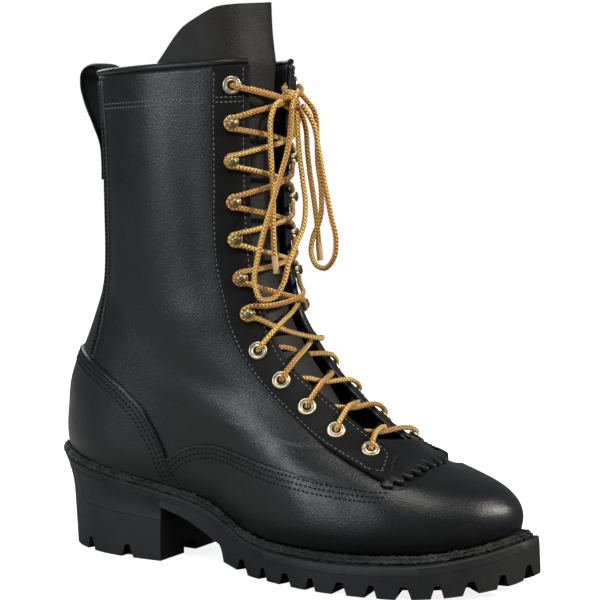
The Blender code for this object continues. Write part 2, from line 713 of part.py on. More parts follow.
def kiltie_outline():
    """Plan of the flap: a row of rounded teeth in front and a stem that runs in between the facings."""
    teeth, half, front, bow, deep = 10, 33.0, 258.5, 9.0, 5.0
    edge = []
    for k in range(teeth):
        left, right = (-half + 2 * half * (k + part) / teeth for part in (0.0, 1.0))
        for part, reach in ((0.06, -deep), (0.2, -0.8), (0.5, 0.0), (0.8, -0.8), (0.94, -deep)):
            y = left + (right - left) * part
            edge.append((front - bow * (y / half) ** 2 + reach, y))
    return [(242.5, -30), *edge, (242.5, 30), (240, 11), (232.5, 8), (232.5, -8), (240, -11)]


def seat_matrix(row, side, height):
    """Place and turn of a piece of hardware: its z axis stands out of the upper."""
    angle = np.array(side * row.angle)
    spot = raised_point(row.level, angle, np.array(height))
    out = Vector(upper_normal(row.level, angle))
    up = upper_point(row.level + 0.05, angle) - upper_point(row.level - 0.05, angle)
    along = Vector(up).cross(out).normalized()
    turn = Matrix((along, out.cross(along), out)).transposed().to_4x4()
    return Matrix.Translation(Vector(in_metres(spot))) @ turn


def turned_mesh(name, section, closed):
    """A ring or stud turned from its half section, which runs down its outer side."""
    count = len(section)
    points = [(r * MM, 0, z * MM) for r, z in section]
    edges = [(k, k + 1) for k in range(count - 1)]
    if closed:
        edges.append((count - 1, 0))
    mesh = bpy.data.meshes.new(name)
    mesh.from_pydata(points, edges, [])
    mesh.shade_smooth()
    return mesh


def make_hardware():
    """Eyelets and speed hooks, twelve a side, each turned about its own hole."""
    meshes = {
        "eyelet": turned_mesh("eyelet_section", EYELET_SECTION, True),
        "hook": turned_mesh("hook_section", HOOK_SECTION, False),
    }
    looks = {"eyelet": PALE_BRASS, "hook": ANTIQUE_BRASS}
    height = SKIN_GAP + OVERLAY + HARDWARE_GAP
    for side_name, side in SIDES.items():
        for number, row in enumerate(ROWS, 1):
            name = f"{row.kind}_{side_name}_{number:02d}"
            obj = bpy.data.objects.new(name, meshes[row.kind].copy())
            obj.matrix_world = seat_matrix(row, side, height)
            screw = obj.modifiers.new("turn", "SCREW")
            screw.steps = screw.render_steps = HARDWARE_STEPS
            screw.use_merge_vertices = True
            screw.merge_threshold = 1e-6
            finish(obj, looks[row.kind])


def level_on_plane(angle, place, normal):
    """The level at which the upper, at this angle, meets a plane across the throat."""
    low, high = 3.0, float(TOPLINE)
    for _ in range(30):
        middle = (low + high) / 2
        if np.dot(upper_point(middle, angle) - place, normal) > 0:
            high = middle
        else:
            low = middle
    return middle


def lace_end(row, side, up):
    """Where a lace stops beside its hole: towards the throat, and a little up or down from the row."""
    angle = np.array(side * row.angle)
    inwards = upper_point(row.level, angle - side * 0.05) - upper_point(row.level, angle)
    rise = upper_point(row.level + 0.05, angle) - upper_point(row.level - 0.05, angle)
    spot = raised_point(row.level, angle, np.array(LACE_HEIGHT))
    return spot + unit(inwards) * LACE_BESIDE_HOLE + unit(rise) * LACE_APART * up


def lace_span(low, high, side):
    """One lace between two rows: over one facing, straight across the throat and over the other."""
    first, last = lace_end(low, side, 1), lace_end(high, -side, -1)
    middle = (low.level + high.level) / 2
    edge = float(throat_angle(middle)) * LACE_OVER_EDGE
    upward = unit(np.cross(last - first, upper_normal(middle, np.array(0.0))) * side)
    points = [first]
    for turn in ((low.angle + edge) / 2, edge, -edge, -(high.angle + edge) / 2):
        share = (low.angle - turn) / (low.angle + high.angle)
        angle = np.array(side * turn)
        level = level_on_plane(angle, first + (last - first) * share, upward)
        points.append(raised_point(level, angle, np.array(LACE_HEIGHT + LACE_ARCH)))
    return [*points, last]


def make_laces():
    """A crossing of two laces between each pair of rows, joined where they cross."""
    for number, (low, high) in enumerate(zip(ROWS, ROWS[1:]), 1):
        spans = [tube_mesh(f"lace_span_{number}_{side}", lace_span(low, high, side), LACE_RADIUS)
                 for side in SIDES.values()]
        cross, other = spans
        cross.name = f"lace_cross_{number:02d}"
        boolean(cross, "UNION", as_cutter(other))
        finish(cross, LACE_YARN)


def route(points):
    """Evenly spaced points on a smooth curve through a cord's own points."""
    fine = smooth_outline(points, per_span=12)
    length = np.r_[0, np.cumsum(np.linalg.norm(np.diff(fine, axis=0), axis=1))]
    at = np.linspace(0, length[-1], int(length[-1] / ROUTE_STEP) + 2)
    return np.stack([np.interp(at, length, column) for column in fine.T], -1)


def make_bow():
    """The knot, and the loops and ends that hang from it."""
    mesh = bpy.data.meshes.new("lace_knot")
    work = bmesh.new()
    bmesh.ops.create_uvsphere(work, u_segments=10, v_segments=7, radius=1.0)
    bmesh.ops.scale(work, verts=work.verts, vec=Vector(KNOT_RADII) * MM)
    work.to_mesh(mesh)
    work.free()
    mesh.shade_smooth()
    knot = finish(bpy.data.objects.new("lace_knot", mesh), LACE_YARN)
    knot.location = in_metres(KNOT)
    cords = {"lace_loop_lateral": LOOP_LATERAL, "lace_loop_medial": LOOP_MEDIAL,
             "lace_end_lateral": END_LATERAL, "lace_end_medial": END_MEDIAL}
    for name, points in cords.items():
        finish(tube(name, route(points), LACE_RADIUS), LACE_YARN)


make_outsole()
make_midsole()
make_welt()
make_heel()
make_insole()
make_upper()
make_overlays()
make_top_bead()
make_pull_loop()
make_tongue()
make_kiltie()
make_hardware()
make_laces()
make_bow()
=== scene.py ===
# %% [markdown]
# # A wildland fire boot, dressed for its picture
#
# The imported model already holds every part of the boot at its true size. This lesson replaces its
# plain solids by leather, rubber, brass and braided lace. Each cell makes one piece or one finish.
# Sizes are in millimetres, with x counted from the back of the heel, and become metres at the end.

# %% Load the frame
import math
from collections import namedtuple

import bmesh
import bpy
import numpy as np
from mathutils import Matrix, Vector, noise
from mathutils.kdtree import KDTree


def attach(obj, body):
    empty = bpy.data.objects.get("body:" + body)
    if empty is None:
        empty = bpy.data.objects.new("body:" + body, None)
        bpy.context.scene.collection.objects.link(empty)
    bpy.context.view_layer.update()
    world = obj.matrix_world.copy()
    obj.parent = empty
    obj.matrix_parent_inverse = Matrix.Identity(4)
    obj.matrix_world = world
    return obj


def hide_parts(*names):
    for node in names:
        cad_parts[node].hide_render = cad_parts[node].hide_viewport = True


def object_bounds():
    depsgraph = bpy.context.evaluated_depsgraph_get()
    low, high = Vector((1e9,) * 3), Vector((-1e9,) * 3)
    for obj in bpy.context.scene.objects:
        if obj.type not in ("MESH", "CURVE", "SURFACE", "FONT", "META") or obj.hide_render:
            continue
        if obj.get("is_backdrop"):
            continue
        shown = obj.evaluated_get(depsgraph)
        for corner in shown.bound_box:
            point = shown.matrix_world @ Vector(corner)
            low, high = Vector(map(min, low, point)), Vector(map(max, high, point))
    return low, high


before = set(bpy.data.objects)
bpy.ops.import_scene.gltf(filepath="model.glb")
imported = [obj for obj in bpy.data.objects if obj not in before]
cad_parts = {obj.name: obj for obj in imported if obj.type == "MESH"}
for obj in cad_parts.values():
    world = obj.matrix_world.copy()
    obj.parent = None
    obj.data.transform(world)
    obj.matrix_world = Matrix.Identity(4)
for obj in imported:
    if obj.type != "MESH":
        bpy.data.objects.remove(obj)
CAD_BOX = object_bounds()
MM = 0.001
HEEL_CENTRE = 48.0
BOOT = bpy.context.scene.collection
print("nodes in the frame:", len(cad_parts))

# %% [markdown]
# ## The camera
#
# A product picture is taken with a long lens, so the boot hardly tapers towards the toe. The camera
# stands well in front of the outer side, about as high as the topline, and looks down by a few
# degrees. Building its matrix from three directions is clearer than chaining rotations.

# %% Stand the camera
CAMERA_SPOT = Vector((0.7305, -1.0782, 0.280))
AZIMUTH, PAN, TILT = (math.radians(angle) for angle in (30, 0.38, 5.75))
LENS, SENSOR = 129.84, 36.0


def camera_matrix():
    upright = Vector((0, 0, 1))
    ahead = Vector((-math.sin(AZIMUTH), math.cos(AZIMUTH), 0))
    aside = Vector((math.cos(AZIMUTH), math.sin(AZIMUTH), 0))
    level = ahead * math.cos(PAN) + aside * math.sin(PAN)
    right = aside * math.cos(PAN) - ahead * math.sin(PAN)
    forward = level * math.cos(TILT) - upright * math.sin(TILT)
    up = upright * math.cos(TILT) + level * math.sin(TILT)
    turn = Matrix((right, up, -forward)).transposed().to_4x4()
    return Matrix.Translation(CAMERA_SPOT) @ turn


camera_data = bpy.data.cameras.new("camera")
camera_data.lens = LENS
camera_data.sensor_width = SENSOR
camera = bpy.data.objects.new("camera", camera_data)
camera.matrix_world = camera_matrix()
BOOT.objects.link(camera)
bpy.context.scene.camera = camera
print("camera stands", round(CAMERA_SPOT.length, 3), "m from the heel")

# %% [markdown]
# ## The last
#
# Shoemakers pull leather over a last, and every panel takes its curve from it. The same idea works
# here. One function gives the outer surface of the upper from a level (0 at the welt, 11 at the
# topline) and an angle (0 at the toe, half a turn at the heel). All the leather is laid on it. The
# tables follow the part's own, which this script can't read. Toe, topline and welt line are fitted a
# few millimetres closer to the picture.

# %% The tables of the last
Section = namedtuple("Section", "back_x back_z front_x front_z sag heel waist ball toe ball_swing toe_swing")
SECTIONS = (
    Section(8.5, 59.6, 300, 32.3, 1.00, 29.5, 27.5, 43, 33, -3, 5),
    Section(7.5, 72, 300.8, 41, 0.95, 32, 31, 47, 37, -3, 5),
    Section(8.5, 86, 297, 49, 0.75, 32, 33, 46, 37, -3, 5),
    Section(10, 100, 286, 56.5, 0.50, 31, 35, 43, 34, -2, 4),
    Section(15, 114, 257, 67, 0.30, 30, 36, 39, 29, -1, 2),
    Section(21.5, 127, 223, 87, 0.12, 29, 37.5, 37, 26, 0, 1),
    Section(29, 144, 193, 112, 0.04, 28, 38.5, 37, 25, 0, 0),
    Section(35, 160, 171, 139, 0, 27.5, 39, 38, 26, 0, 0),
    Section(37.5, 178, 160, 169, 0, 28, 40, 39, 28, 0, 0),
    Section(38, 206, 155, 208, 0, 29, 41.5, 41, 30, 0, 0),
    Section(37.4, 245, 155, 250, 0, 30, 43.5, 43, 32, 0, 0),
    Section(33.6, 284, 158, 292, 0, 30.5, 45, 44, 33, 0, 0),
)
TOPLINE = len(SECTIONS) - 1
SHARES = (0.0, 0.12, 0.40, 0.68, 0.90, 1.0)
FEATHER_LINE = ((-5, 61.5), (10, 59), (45, 53.5), (90, 45.5), (118, 38.8), (136, 31), (152, 24), (175, 21),
                (215, 20.6), (260, 22.4), (290, 27.5), (312, 34.5))
THROAT = ((4.05, 0.0), (4.12, 0.30), (4.3, 0.45), (4.65, 0.44), (5.0, 0.46), (5.34, 0.49), (5.69, 0.535),
          (5.95, 0.58), (6.25, 0.612), (6.5, 0.605), (6.84, 0.585), (7.26, 0.56), (7.76, 0.55), (8.42, 0.54),
          (9.0, 0.52), (9.54, 0.51), (10.1, 0.515), (11, 0.54))


# %% Smooth curves through a table
def hermite(at, knots, values, slopes=None):
    """Cubic through values at the knots, with the last axis of values along the knots."""
    at = np.clip(np.asarray(at, float), knots[0], knots[-1])
    if slopes is None:
        slopes = np.gradient(values, knots, axis=-1)
    cell = np.clip(np.searchsorted(knots, at) - 1, 0, len(knots) - 2)
    width = knots[cell + 1] - knots[cell]
    t = (at - knots[cell]) / width

    def pick(table, index):
        if table.ndim == 1:
            return table[index]
        return np.take_along_axis(table, index[..., None], -1)[..., 0]

    return (
        (1 + 2 * t) * (1 - t) ** 2 * pick(values, cell)
        + t * (1 - t) ** 2 * width * pick(slopes, cell)
        + t * t * (3 - 2 * t) * pick(values, cell + 1)
        + t * t * (t - 1) * width * pick(slopes, cell + 1)
    )


def through(at, table):
    """Smooth curve through (position, value) rows, with no overshoot, level beyond its ends."""
    knots, values = np.asarray(table, float).T
    steep = np.diff(values) / np.diff(knots)
    before, after = steep[:-1], steep[1:]
    same_way = before * after > 0
    inner = np.where(same_way, 2 * before * after / np.where(same_way, before + after, 1), 0)
    return hermite(at, knots, values, np.r_[steep[0], inner, steep[-1]])


def run_length(points):
    """Distance along a line of points, from its start to each of them."""
    return np.r_[0, np.cumsum(np.linalg.norm(np.diff(points, axis=0), axis=1))]


def read_at(at, length, table):
    """Rows of a table, read at distances along its line."""
    return np.stack([np.interp(at, length, column) for column in table.T], -1)


def smooth_track(points, spacing=None, count=None):
    """Evenly spaced points on a smooth curve through the given ones, in their own units."""
    points = np.asarray(points, float)
    steps = run_length(points)
    fine = np.linspace(0, steps[-1], 40 * len(points))
    curve = np.stack([hermite(fine, steps, column) for column in points.T], -1)
    length = run_length(curve)
    count = count or int(length[-1] / spacing) + 2
    return read_at(np.linspace(0, length[-1], count), length, curve)


# %% The surface of the last
def feather(x):
    return through(x, FEATHER_LINE)


def half_width(share, heel, waist, ball, toe):
    """Half-width at a share of the length. Its square is smooth, so both ends are round."""
    share, heel, waist, ball, toe = np.broadcast_arrays(share, heel, waist, ball, toe)
    squares = np.stack([0 * heel, heel**2, waist**2, ball**2, toe**2, 0 * toe], -1).astype(float)
    return np.sqrt(np.maximum(hermite(share, np.array(SHARES), squares), 0))


def swing(share, ball_swing, toe_swing):
    ball_share, spread = SHARES[3], 0.2
    beyond = np.clip((share - ball_share) / (1 - ball_share), 0, 1)
    return ball_swing * np.exp(-(((share - ball_share) / spread) ** 2)) + toe_swing * beyond**1.5


def upper_point(level, angle):
    level, angle = np.broadcast_arrays(np.asarray(level, float), np.asarray(angle, float))
    levels = np.arange(len(SECTIONS), dtype=float)
    ring = Section(*(hermite(level, levels, column) for column in np.array(SECTIONS, float).T))
    share = (1 + np.cos(angle)) / 2
    x = ring.back_x + (ring.front_x - ring.back_x) * share
    half = half_width(share, ring.heel, ring.waist, ring.ball, ring.toe)
    y = swing(share, ring.ball_swing, ring.toe_swing) + np.sign(np.sin(angle)) * half
    straight = ring.back_z + (ring.front_z - ring.back_z) * share
    back, front = feather(ring.back_x), feather(ring.front_x)
    z = straight + ring.sag * (feather(x) - back - (front - back) * share)
    return np.stack([x, y, z], -1)


def upper_normal(level, angle):
    step = 0.01
    level, angle = np.asarray(level, float), np.asarray(angle, float)
    along = upper_point(level + step, angle) - upper_point(level - step, angle)
    around = upper_point(level, angle + step) - upper_point(level, angle - step)
    normal = np.cross(around, along)
    return normal / np.linalg.norm(normal, axis=-1, keepdims=True)


def unit(vector):
    return np.asarray(vector, float) / np.linalg.norm(vector, axis=-1, keepdims=True)


def throat_angle(level):
    return np.where(np.asarray(level) > THROAT[0][0], through(level, THROAT), 0.0)


# %% [markdown]
# ## Folds
#
# Worn or not, a leather shaft is never a perfect tube. Broad soft waves run round the ankle, where
# the boot bends, and up the shaft. A noise texture would give them no direction, so each one is set
# as a ridge or a hollow with a place, a lean, a length, a width and a depth.

# %% Soft folds of the upper
Fold = namedtuple("Fold", "level angle lean length width depth")
FOLDS = (
    Fold(5.1, 1.62, 8, 34, 11, -1.5),
    Fold(4.2, 1.50, 12, 36, 12, 0.9),
    Fold(6.1, 1.95, 24, 30, 10, -0.8),
    Fold(6.9, 1.45, -14, 26, 12, 0.7),
    Fold(9.4, 1.62, 88, 62, 15, 0.9),
    Fold(9.0, 1.20, 84, 60, 9, -0.7),
    Fold(8.2, 2.05, 70, 36, 12, -0.6),
    Fold(1.9, 1.02, 62, 20, 7, -0.5),
    Fold(2.1, 1.30, 74, 18, 8, 0.4),
    Fold(3.9, 2.30, 40, 24, 9, 0.5),
)


def fold_frame(fold, side):
    """Middle of a fold and the direction it runs in, on one side of the boot."""
    angle = np.array(side * fold.angle)
    around = unit(upper_point(fold.level, angle + side * 0.02) - upper_point(fold.level, angle))
    rise = unit(upper_point(fold.level + 0.05, angle) - upper_point(fold.level, angle))
    lean = math.radians(fold.lean)
    return upper_point(fold.level, angle), unit(around * math.cos(lean) + rise * math.sin(lean))


def relief(points):
    """How far the leather stands off the last at these points."""
    height = np.zeros(points.shape[:-1])
    for fold in FOLDS:
        for side in (-1, 1):
            middle, run = fold_frame(fold, side)
            away = points - middle
            along = away @ run
            across = (away**2).sum(-1) - along**2
            height += fold.depth * np.exp(-((along / fold.length) ** 2) - across / fold.width**2)
    return height


PRESSED_IN = ((3.5, 0), (4.4, 3), (6.5, 3), (7.5, 4.6), (11, 4.6))
PRESSED_AT, PRESSED_WIDE = 0.5, 0.36


def pressed(level, angle):
    """How far the laces press the inner facing in."""
    return through(level, PRESSED_IN) * np.exp(-(((angle - PRESSED_AT) / PRESSED_WIDE) ** 2))


def laid(level, angle, height):
    """A point on the folded leather at a height above it."""
    level = np.minimum(np.asarray(level, float), TOPLINE - 0.02)
    base = upper_point(level, angle)
    lifted = np.asarray(height) + relief(base) - pressed(level, angle)
    return base + lifted[..., None] * upper_normal(level, angle)


print("folds set by hand:", 2 * len(FOLDS))

# %% [markdown]
# ## From points to meshes
#
# Every leather panel is a grid of points with an upper and a lower face. Merging doubles closes the
# places where edges meet, and the normals are recalculated only after that.


# %% Mesh helpers
def in_metres(points):
    return (np.asarray(points, float) - (HEEL_CENTRE, 0, 0)) * MM


def mesh_piece(name, points, faces, finish, uvs=None, smooth=40):
    """A linked mesh object from points in millimetres."""
    mesh = bpy.data.meshes.new(name)
    mesh.from_pydata(in_metres(points).tolist(), [], faces)
    if uvs is not None:
        layer = mesh.uv_layers.new(name="UVMap")
        layer.data.foreach_set("uv", np.asarray(uvs, np.float32).ravel())
    work = bmesh.new()
    work.from_mesh(mesh)
    bmesh.ops.remove_doubles(work, verts=work.verts, dist=2e-6)
    bmesh.ops.recalc_face_normals(work, faces=work.faces)
    work.to_mesh(mesh)
    work.free()
    mesh.shade_smooth()
    mesh.set_sharp_from_angle(angle=math.radians(smooth))
    mesh.materials.append(finish)
    piece = bpy.data.objects.new(name, mesh)
    BOOT.objects.link(piece)
    return piece


def grid_faces(rows, columns, first=0, turned=False):
    cells = ((r, c) for r in range(rows - 1) for c in range(columns - 1))
    faces = [(first + r * columns + c, first + r * columns + c + 1,
              first + (r + 1) * columns + c + 1, first + (r + 1) * columns + c) for r, c in cells]
    return [face[::-1] for face in faces] if turned else faces


def ring_faces(rings, sides):
    """Faces between each closed ring of points and the next one."""
    cells = ((r * sides, k, (k + 1) % sides) for r in range(rings - 1) for k in range(sides))
    return [(first + k, first + after, first + sides + after, first + sides + k) for first, k, after in cells]


def sheet_piece(name, top, under, finish):
    """A closed sheet between two grids of points."""
    rows, columns = top.shape[:2]
    count = rows * columns
    faces = grid_faces(rows, columns) + grid_faces(rows, columns, count, True)
    rim = [(0, c) for c in range(columns)] + [(r, columns - 1) for r in range(1, rows)]
    rim += [(rows - 1, c) for c in range(columns - 2, -1, -1)] + [(r, 0) for r in range(rows - 2, 0, -1)]
    ring = [r * columns + c for r, c in rim]
    faces += [(b, a, a + count, b + count) for a, b in zip(ring, ring[1:] + ring[:1])]
    points = np.concatenate([top.reshape(-1, 3), under.reshape(-1, 3)])
    return mesh_piece(name, points, faces, finish, smooth=50)


def dress(piece, slot, *nodes):
    """The piece rides on the boot and stands for its CAD nodes. The slot is not used."""
    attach(piece, "root")
    if nodes:
        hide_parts(*nodes)
    piece.data.calc_loop_triangles()
    print(f"{piece.name}: {len(piece.data.loop_triangles)} triangles for {len(nodes)} nodes")
    return piece


# %% [markdown]
# ## Finishes
#
# Oiled leather is nearly black, with a broad grey sheen that breaks up into fine grain. The colour
# varies a little over the hide, the roughness varies more, and three sizes of bump make creases, pores
# and grain. These patterns read Object coordinates, in metres, so their scale is real. Cut edges are a
# little greyer: a panel stores on its points how near an edge is, and the finish reads that.


# %% Helpers for node finishes
def new_finish(name, colour, roughness, metallic=0.0, specular=0.5):
    finish = bpy.data.materials.new(name)
    finish.use_nodes = True
    shader = finish.node_tree.nodes["Principled BSDF"]
    shader.inputs["Base Color"].default_value = (*colour, 1)
    shader.inputs["Roughness"].default_value = roughness
    shader.inputs["Metallic"].default_value = metallic
    shader.inputs["Specular IOR Level"].default_value = specular
    return finish, finish.node_tree.nodes, finish.node_tree.links, shader


def object_noise(nodes, links, scale, detail=4.0, rough=0.55):
    place = nodes.new("ShaderNodeTexCoord")
    texture = nodes.new("ShaderNodeTexNoise")
    texture.inputs["Scale"].default_value = scale
    texture.inputs["Detail"].default_value = detail
    texture.inputs["Roughness"].default_value = rough
    links.new(place.outputs["Object"], texture.inputs["Vector"])
    return texture.outputs["Fac"]


def object_cells(nodes, links, scale):
    place = nodes.new("ShaderNodeTexCoord")
    texture = nodes.new("ShaderNodeTexVoronoi")
    texture.inputs["Scale"].default_value = scale
    links.new(place.outputs["Object"], texture.inputs["Vector"])
    return texture.outputs["Distance"]


def spread(nodes, links, source, low, high, darkest=0.3, lightest=0.7):
    """Maps a pattern onto a range of values."""
    span = nodes.new("ShaderNodeMapRange")
    span.inputs["From Min"].default_value = darkest
    span.inputs["From Max"].default_value = lightest
    span.inputs["To Min"].default_value = low
    span.inputs["To Max"].default_value = high
    links.new(source, span.inputs["Value"])
    return span.outputs["Result"]


def two_tone(nodes, links, source, first, second):
    """Mixes two colours, each of them plain or from a socket."""
    mix = nodes.new("ShaderNodeMix")
    mix.data_type = "RGBA"
    links.new(source, mix.inputs[0])
    for socket, colour in ((mix.inputs[6], first), (mix.inputs[7], second)):
        if isinstance(colour, tuple):
            socket.default_value = (*colour, 1)
        else:
            links.new(colour, socket)
    return mix.outputs[2]


def maths(nodes, links, operation, *terms):
    """One step of arithmetic on sockets and plain numbers."""
    step = nodes.new("ShaderNodeMath")
    step.operation = operation
    for socket, term in zip(step.inputs, terms):
        if isinstance(term, float):
            socket.default_value = term
        else:
            links.new(term, socket)
    return step.outputs[0]


def bump_chain(nodes, links, shader, layers):
    """Stacks bumps, each given as a pattern, a strength and a height in metres."""
    last = None
    for source, strength, height in layers:
        bump = nodes.new("ShaderNodeBump")
        bump.inputs["Strength"].default_value = strength
        bump.inputs["Distance"].default_value = height
        links.new(source, bump.inputs["Height"])
        if last:
            links.new(last, bump.inputs["Normal"])
        last = bump.outputs["Normal"]
    links.new(last, shader.inputs["Normal"])


# %% Leather finishes
def leather_finish(name, dark, light, roughness, gloss, grain, edge_grey):
    finish, nodes, links, shader = new_finish(name, dark, sum(roughness) / 2, specular=gloss)
    cloud = spread(nodes, links, object_noise(nodes, links, 28), 0, 1)
    hide = two_tone(nodes, links, cloud, dark, light)
    edge = nodes.new("ShaderNodeAttribute")
    edge.attribute_name = "edge"
    links.new(two_tone(nodes, links, edge.outputs["Fac"], hide, edge_grey), shader.inputs["Base Color"])
    worn = object_noise(nodes, links, 75, 9, 0.76)
    links.new(spread(nodes, links, worn, *roughness), shader.inputs["Roughness"])
    pores = object_cells(nodes, links, 1250)
    fine = object_noise(nodes, links, 640, 4, 0.7)
    creases = object_noise(nodes, links, 90, 4)
    bump_chain(nodes, links, shader, ((creases, 0.3, 0.0006), (pores, grain, 0.00025), (fine, grain, 0.0005)))
    return finish


OILED_LEATHER = leather_finish("oiled_black_leather", (0.0045, 0.0050, 0.0056), (0.0080, 0.0086, 0.0094),
                               (0.25, 0.40), 0.5, 0.26, (0.016, 0.017, 0.018))
FACING_LEATHER = leather_finish("facing_black_leather", (0.0045, 0.0046, 0.0044), (0.0080, 0.0080, 0.0075),
                                (0.45, 0.65), 0.18, 0.36, (0.018, 0.018, 0.017))
TONGUE_LEATHER = leather_finish("dull_tongue_leather", (0.010, 0.0095, 0.0085), (0.019, 0.0175, 0.0155),
                                (0.46, 0.64), 0.3, 0.45, (0.030, 0.028, 0.025))
LINING_LEATHER = leather_finish("black_lining_leather", (0.007, 0.007, 0.007), (0.012, 0.012, 0.012),
                                (0.62, 0.8), 0.25, 0.4, (0.02, 0.02, 0.02))


# %% Rough leather, rubber and insole finishes
def rough_finish(name, dark, light, roughness, coarse, height, strength):
    """Cut leather edges, rubber and board: a coarse and a fine unevenness."""
    finish, nodes, links, shader = new_finish(name, dark, roughness, specular=0.4)
    cloud = spread(nodes, links, object_noise(nodes, links, 60, 6), 0, 1)
    links.new(two_tone(nodes, links, cloud, dark, light), shader.inputs["Base Color"])
    broad = object_noise(nodes, links, coarse, 6, 0.7)
    links.new(spread(nodes, links, broad, roughness - 0.1, roughness + 0.1), shader.inputs["Roughness"])
    fine = object_noise(nodes, links, 1600, 3)
    bump_chain(nodes, links, shader, ((broad, strength, height), (fine, 0.2, 0.0002)))
    return finish


WELT_LEATHER = rough_finish("rough_welt_leather", (0.006, 0.006, 0.006), (0.045, 0.046, 0.045), 0.42,
                            520, 0.0016, 1.0)
SOLE_RUBBER = rough_finish("charcoal_rubber", (0.0135, 0.0142, 0.0148), (0.020, 0.0206, 0.021), 0.58,
                           240, 0.0005, 0.35)
INSOLE_LEATHER = rough_finish("insole_board", (0.16, 0.095, 0.05), (0.25, 0.16, 0.09), 0.7, 200, 0.0006, 0.4)


# %% Brass and thread finishes
def brass_finish(name, colour, stain, roughness):
    finish, nodes, links, shader = new_finish(name, colour, roughness, metallic=1.0)
    patina = spread(nodes, links, object_noise(nodes, links, 260, 4, 0.6), 0, 1, 0.35, 0.75)
    links.new(two_tone(nodes, links, patina, colour, stain), shader.inputs["Base Color"])
    wear = object_noise(nodes, links, 1500, 3)
    links.new(spread(nodes, links, wear, roughness - 0.06, roughness + 0.1), shader.inputs["Roughness"])
    bump_chain(nodes, links, shader, ((wear, 0.03, 0.00005),))
    return finish


PALE_BRASS = brass_finish("pale_brass", (0.70, 0.62, 0.44), (0.60, 0.52, 0.35), 0.36)
ANTIQUE_BRASS = brass_finish("antique_brass", (0.42, 0.34, 0.18), (0.33, 0.26, 0.13), 0.36)
GREY_THREAD = rough_finish("grey_thread", (0.115, 0.118, 0.122), (0.19, 0.192, 0.196), 0.7, 2400, 0.0002, 0.3)
# Black thread made darker than the leather: partly the thread's own colour, partly painted shade of the
# stitch holes.
BLACK_THREAD_AND_HOLE_SHADE = rough_finish("black_thread", (0.0015, 0.0015, 0.0015), (0.004, 0.004, 0.004), 0.85,
                            2400, 0.0002, 0.3)
print("finishes:", len(bpy.data.materials))

# %% [markdown]
# ## The braided lace
#
# The lace is a round braid of gold and rust yarns. Its pattern has to follow the cord, so it reads
# the tube's own UV map: u goes once round, v counts millimetres along. Two sets of slanting stripes
# of opposite hand cross each other, as the yarns do. Round the braid two mainly gold stripes take
# turns with two mainly rust ones, so that every view of it shows both.


# %% Lace finish
def wave(nodes, links, around, along, turns, pitch):
    """A slanted stripe, from 0 to 1, with a whole number of turns round the cord."""
    across = maths(nodes, links, "MULTIPLY", around, 2 * math.pi * turns)
    onward = maths(nodes, links, "MULTIPLY", along, 2 * math.pi / pitch)
    sine = maths(nodes, links, "SINE", maths(nodes, links, "ADD", across, onward))
    return spread(nodes, links, sine, 0, 1, -1, 1)


BRAID_PITCH, BRAID_TWIST = 2.1, 230.0
GOLD, RUST = (0.98, 0.65, 0.13), (0.50, 0.15, 0.020)
PALE_YARN, DARK_YARN = (1.0, 0.74, 0.19), (0.16, 0.042, 0.010)


def lace_finish(name):
    finish, nodes, links, shader = new_finish(name, GOLD, 0.62, specular=0.35)
    shader.inputs["Sheen Weight"].default_value = 0.25
    place = nodes.new("ShaderNodeUVMap")
    split = nodes.new("ShaderNodeSeparateXYZ")
    links.new(place.outputs["UV"], split.inputs[0])
    around, along = split.outputs[0], split.outputs[1]
    right = wave(nodes, links, around, along, 4, BRAID_PITCH)
    left = spread(nodes, links, wave(nodes, links, around, along, -4, BRAID_PITCH), 0.35, 1, 0, 1)
    fleck = maths(nodes, links, "MULTIPLY", right, left)
    side = spread(nodes, links, wave(nodes, links, around, along, 2, BRAID_TWIST), 0, 1, 0.47, 0.55)
    gold_yarn = two_tone(nodes, links, spread(nodes, links, fleck, 0, 1, 0.46, 0.66), GOLD, DARK_YARN)
    rust_yarn = two_tone(nodes, links, spread(nodes, links, fleck, 0, 1, 0.50, 0.70), RUST, PALE_YARN)
    links.new(two_tone(nodes, links, side, gold_yarn, rust_yarn), shader.inputs["Base Color"])
    bump_chain(nodes, links, shader, ((fleck, 0.8, 0.0006), (right, 0.3, 0.0003), (left, 0.3, 0.0003)))
    return finish


LACE_YARN = lace_finish("braided_lace")
AGLET = rough_finish("lace_tip", (0.58, 0.34, 0.16), (0.74, 0.50, 0.27), 0.35, 700, 0.0003, 0.4)


# %% A tube that follows a line
LACE_RADIUS = 1.55
LACE_SIDES = 12


def swept(name, line, radius, finish, sides=LACE_SIDES):
    """A tube along points, with a UV map. Frames are carried along the line, so it doesn't twist."""
    tangent = unit(np.gradient(line, axis=0))
    across = unit(np.cross(tangent[0], (0.31, 0.87, 0.38)))
    frames = []
    for direction in tangent:
        across = unit(across - direction * (across @ direction))
        frames.append((across, np.cross(direction, across)))
    turn = 2 * math.pi * np.arange(sides) / sides
    sizes = np.broadcast_to(np.asarray(radius, float), (len(line),))
    rings = np.array([spot + size * (np.cos(turn)[:, None] * one + np.sin(turn)[:, None] * two)
                      for spot, size, (one, two) in zip(line, sizes, frames)])
    length = run_length(line)
    faces, uvs = ring_faces(len(line), sides), []
    for r in range(len(line) - 1):
        for k in range(sides):
            low, high = k / sides, (k + 1) / sides
            uvs += [(low, length[r]), (high, length[r]), (high, length[r + 1]), (low, length[r + 1])]
    for first in (0, (len(line) - 1) * sides):
        faces.append(tuple(range(first, first + sides)))
        uvs += [(0, length[-1])] * sides
    return mesh_piece(name, rings.reshape(-1, 3), faces, finish, uvs, smooth=70)


# %% [markdown]
# ## The bow
#
# The loops and the ends of the bow hang free, so they are cords: each has a real length, a thickness
# and a place where it leaves the knot. Their routes repeat the part's own points, so the tubes run
# along the middle of the CAD solids. The ends finish in pale dipped tips.

